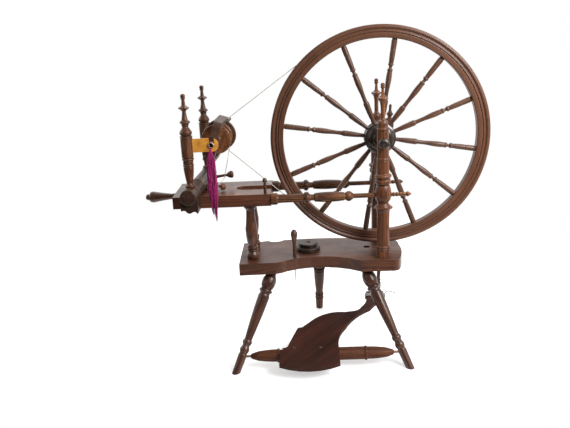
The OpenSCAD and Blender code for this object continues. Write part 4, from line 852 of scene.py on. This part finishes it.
def makeFloor():
    bm = bmesh.new()
    bmesh.ops.create_circle(bm, cap_ends=True, segments=floorSet["sides"], radius=floorSet["radius"],
                            matrix=Matrix.Translation(floorSet["mid"]))
    mesh = bpy.data.meshes.new("studioFloor")
    bm.to_mesh(mesh)
    bm.free()
    floor = bpy.data.objects.new("studioFloor", mesh)
    scene.collection.objects.link(floor)
    material, tree, shader, coords = startMaterial("palePaper")
    fibre = noiseOf(tree, coords, *floorSet["noise"])
    base = floorSet["colour"]
    colour = rampOf(tree, fibre, floorSet["stops"], (tuple(v * floorSet["dim"] for v in base), base))
    wire(tree, colour, shader.inputs["Base Color"])
    setSockets(shader, {"Roughness": floorSet["rough"], "Specular IOR Level": floorSet["spec"]})

    # half lifted near the wheel, so that the shadow stays, and fully white at the edge
    far = vectorMaths(tree, "DISTANCE", coords, floorSet["mid"]).outputs["Value"]
    fade = rangeOf(tree, far, (0.0, 1.0), floorSet["fade"], interpolation_type="SMOOTHSTEP")
    seen = seenDirectly(tree)
    glow = addNode(tree, "ShaderNodeEmission", {"Color": pureWhite})
    wire(tree, times(tree, seen, floorSet["lift"]), glow.inputs["Strength"])
    lifted = addNode(tree, "ShaderNodeAddShader")
    wire(tree, shader.outputs[0], lifted.inputs[0])
    wire(tree, glow.outputs[0], lifted.inputs[1])
    white = addNode(tree, "ShaderNodeEmission", {"Color": pureWhite, "Strength": 1.0})
    blend = addNode(tree, "ShaderNodeMixShader")
    wire(tree, times(tree, seen, fade), blend.inputs[0])
    wire(tree, lifted.outputs[0], blend.inputs[1])
    wire(tree, white.outputs[0], blend.inputs[2])
    wire(tree, blend.outputs[0], tree.nodes["Material Output"].inputs["Surface"])
    material.cycles.emission_sampling = "NONE"  # it lights nothing, so no light ray is spent on it
    mesh.materials.append(material)


# surroundings: white to the eye; what they light and mirror is darker towards the front and the left
roomSet = {
    "toRight": 0.5, "toTop": 0.6, "mirrored": (0.03, 1.0), "mirrorRange": (-0.35, 0.45),
    "ambient": 0.36, "fillShade": 0.16, "fillRange": (-0.8, 0.55),
}


def makeSurround():
    world = bpy.data.worlds.new("whiteRoom")
    scene.world = world
    world.use_nodes = True
    world.cycles.sampling_method = "NONE"  # smooth all round, so the bounced rays are enough
    tree = world.node_tree
    back = tree.nodes["Background"]
    setSockets(back, {"Color": pureWhite})
    split = addNode(tree, "ShaderNodeSeparateXYZ")
    wire(tree, addNode(tree, "ShaderNodeTexCoord").outputs["Generated"], split.inputs[0])
    aside = plus(tree, split.outputs["Y"], times(tree, split.outputs["X"], roomSet["toRight"]))
    aside = plus(tree, aside, times(tree, split.outputs["Z"], roomSet["toTop"]))
    ambient = roomSet["ambient"]
    mirrored = rangeOf(tree, aside, roomSet["mirrored"], roomSet["mirrorRange"])
    filled = rangeOf(tree, aside, (roomSet["fillShade"] * ambient, ambient), roomSet["fillRange"])
    path = addNode(tree, "ShaderNodeLightPath")
    glossy = maths(tree, "MAXIMUM", path.outputs["Is Glossy Ray"], path.outputs["Is Transmission Ray"])
    strength = maths(tree, "MAXIMUM", filled, times(tree, glossy, mirrored))
    wire(tree, maths(tree, "MAXIMUM", strength, path.outputs["Is Camera Ray"]), back.inputs["Strength"])


# square lamps: where each hangs, what it faces, its side, its watts and its tint
lampSet = {
    "rightWindow": ((1.50, -1.60, 1.75), (0.0, 0.0, 0.40), 1.1, 47.0, (1.0, 0.985, 0.96)),
    "sideWindow": ((0.95, -0.62, 1.15), (0.25, 0.0, 0.50), 0.7, 12.0, (0.90, 0.945, 1.0)),
    "topSoft": ((0.20, 1.15, 2.20), (0.0, 0.0, 0.30), 1.6, 20.0, (1.0, 1.0, 1.0)),
    "leftFill": ((-1.90, -0.90, 1.20), (-0.05, 0.0, 0.40), 1.6, 6.0, (1.0, 0.99, 0.97)),
    "leftBack": ((-1.70, 0.90, 1.10), (-0.05, 0.0, 0.40), 1.4, 15.0, (1.0, 0.99, 0.97)),
}


def makeLamps():
    for name, (at, target, size, watts, tint) in lampSet.items():
        light = bpy.data.lights.new(name, "AREA")
        light.shape = "SQUARE"
        light.size = size
        light.energy = watts
        light.color = tint
        lamp = bpy.data.objects.new(name, light)
        lamp.location = at
        lamp.rotation_euler = (Vector(target) - Vector(at)).to_track_quat("-Z", "Y").to_euler()
        scene.collection.objects.link(lamp)


makeFloor()
makeSurround()
makeLamps()
print("studio set")
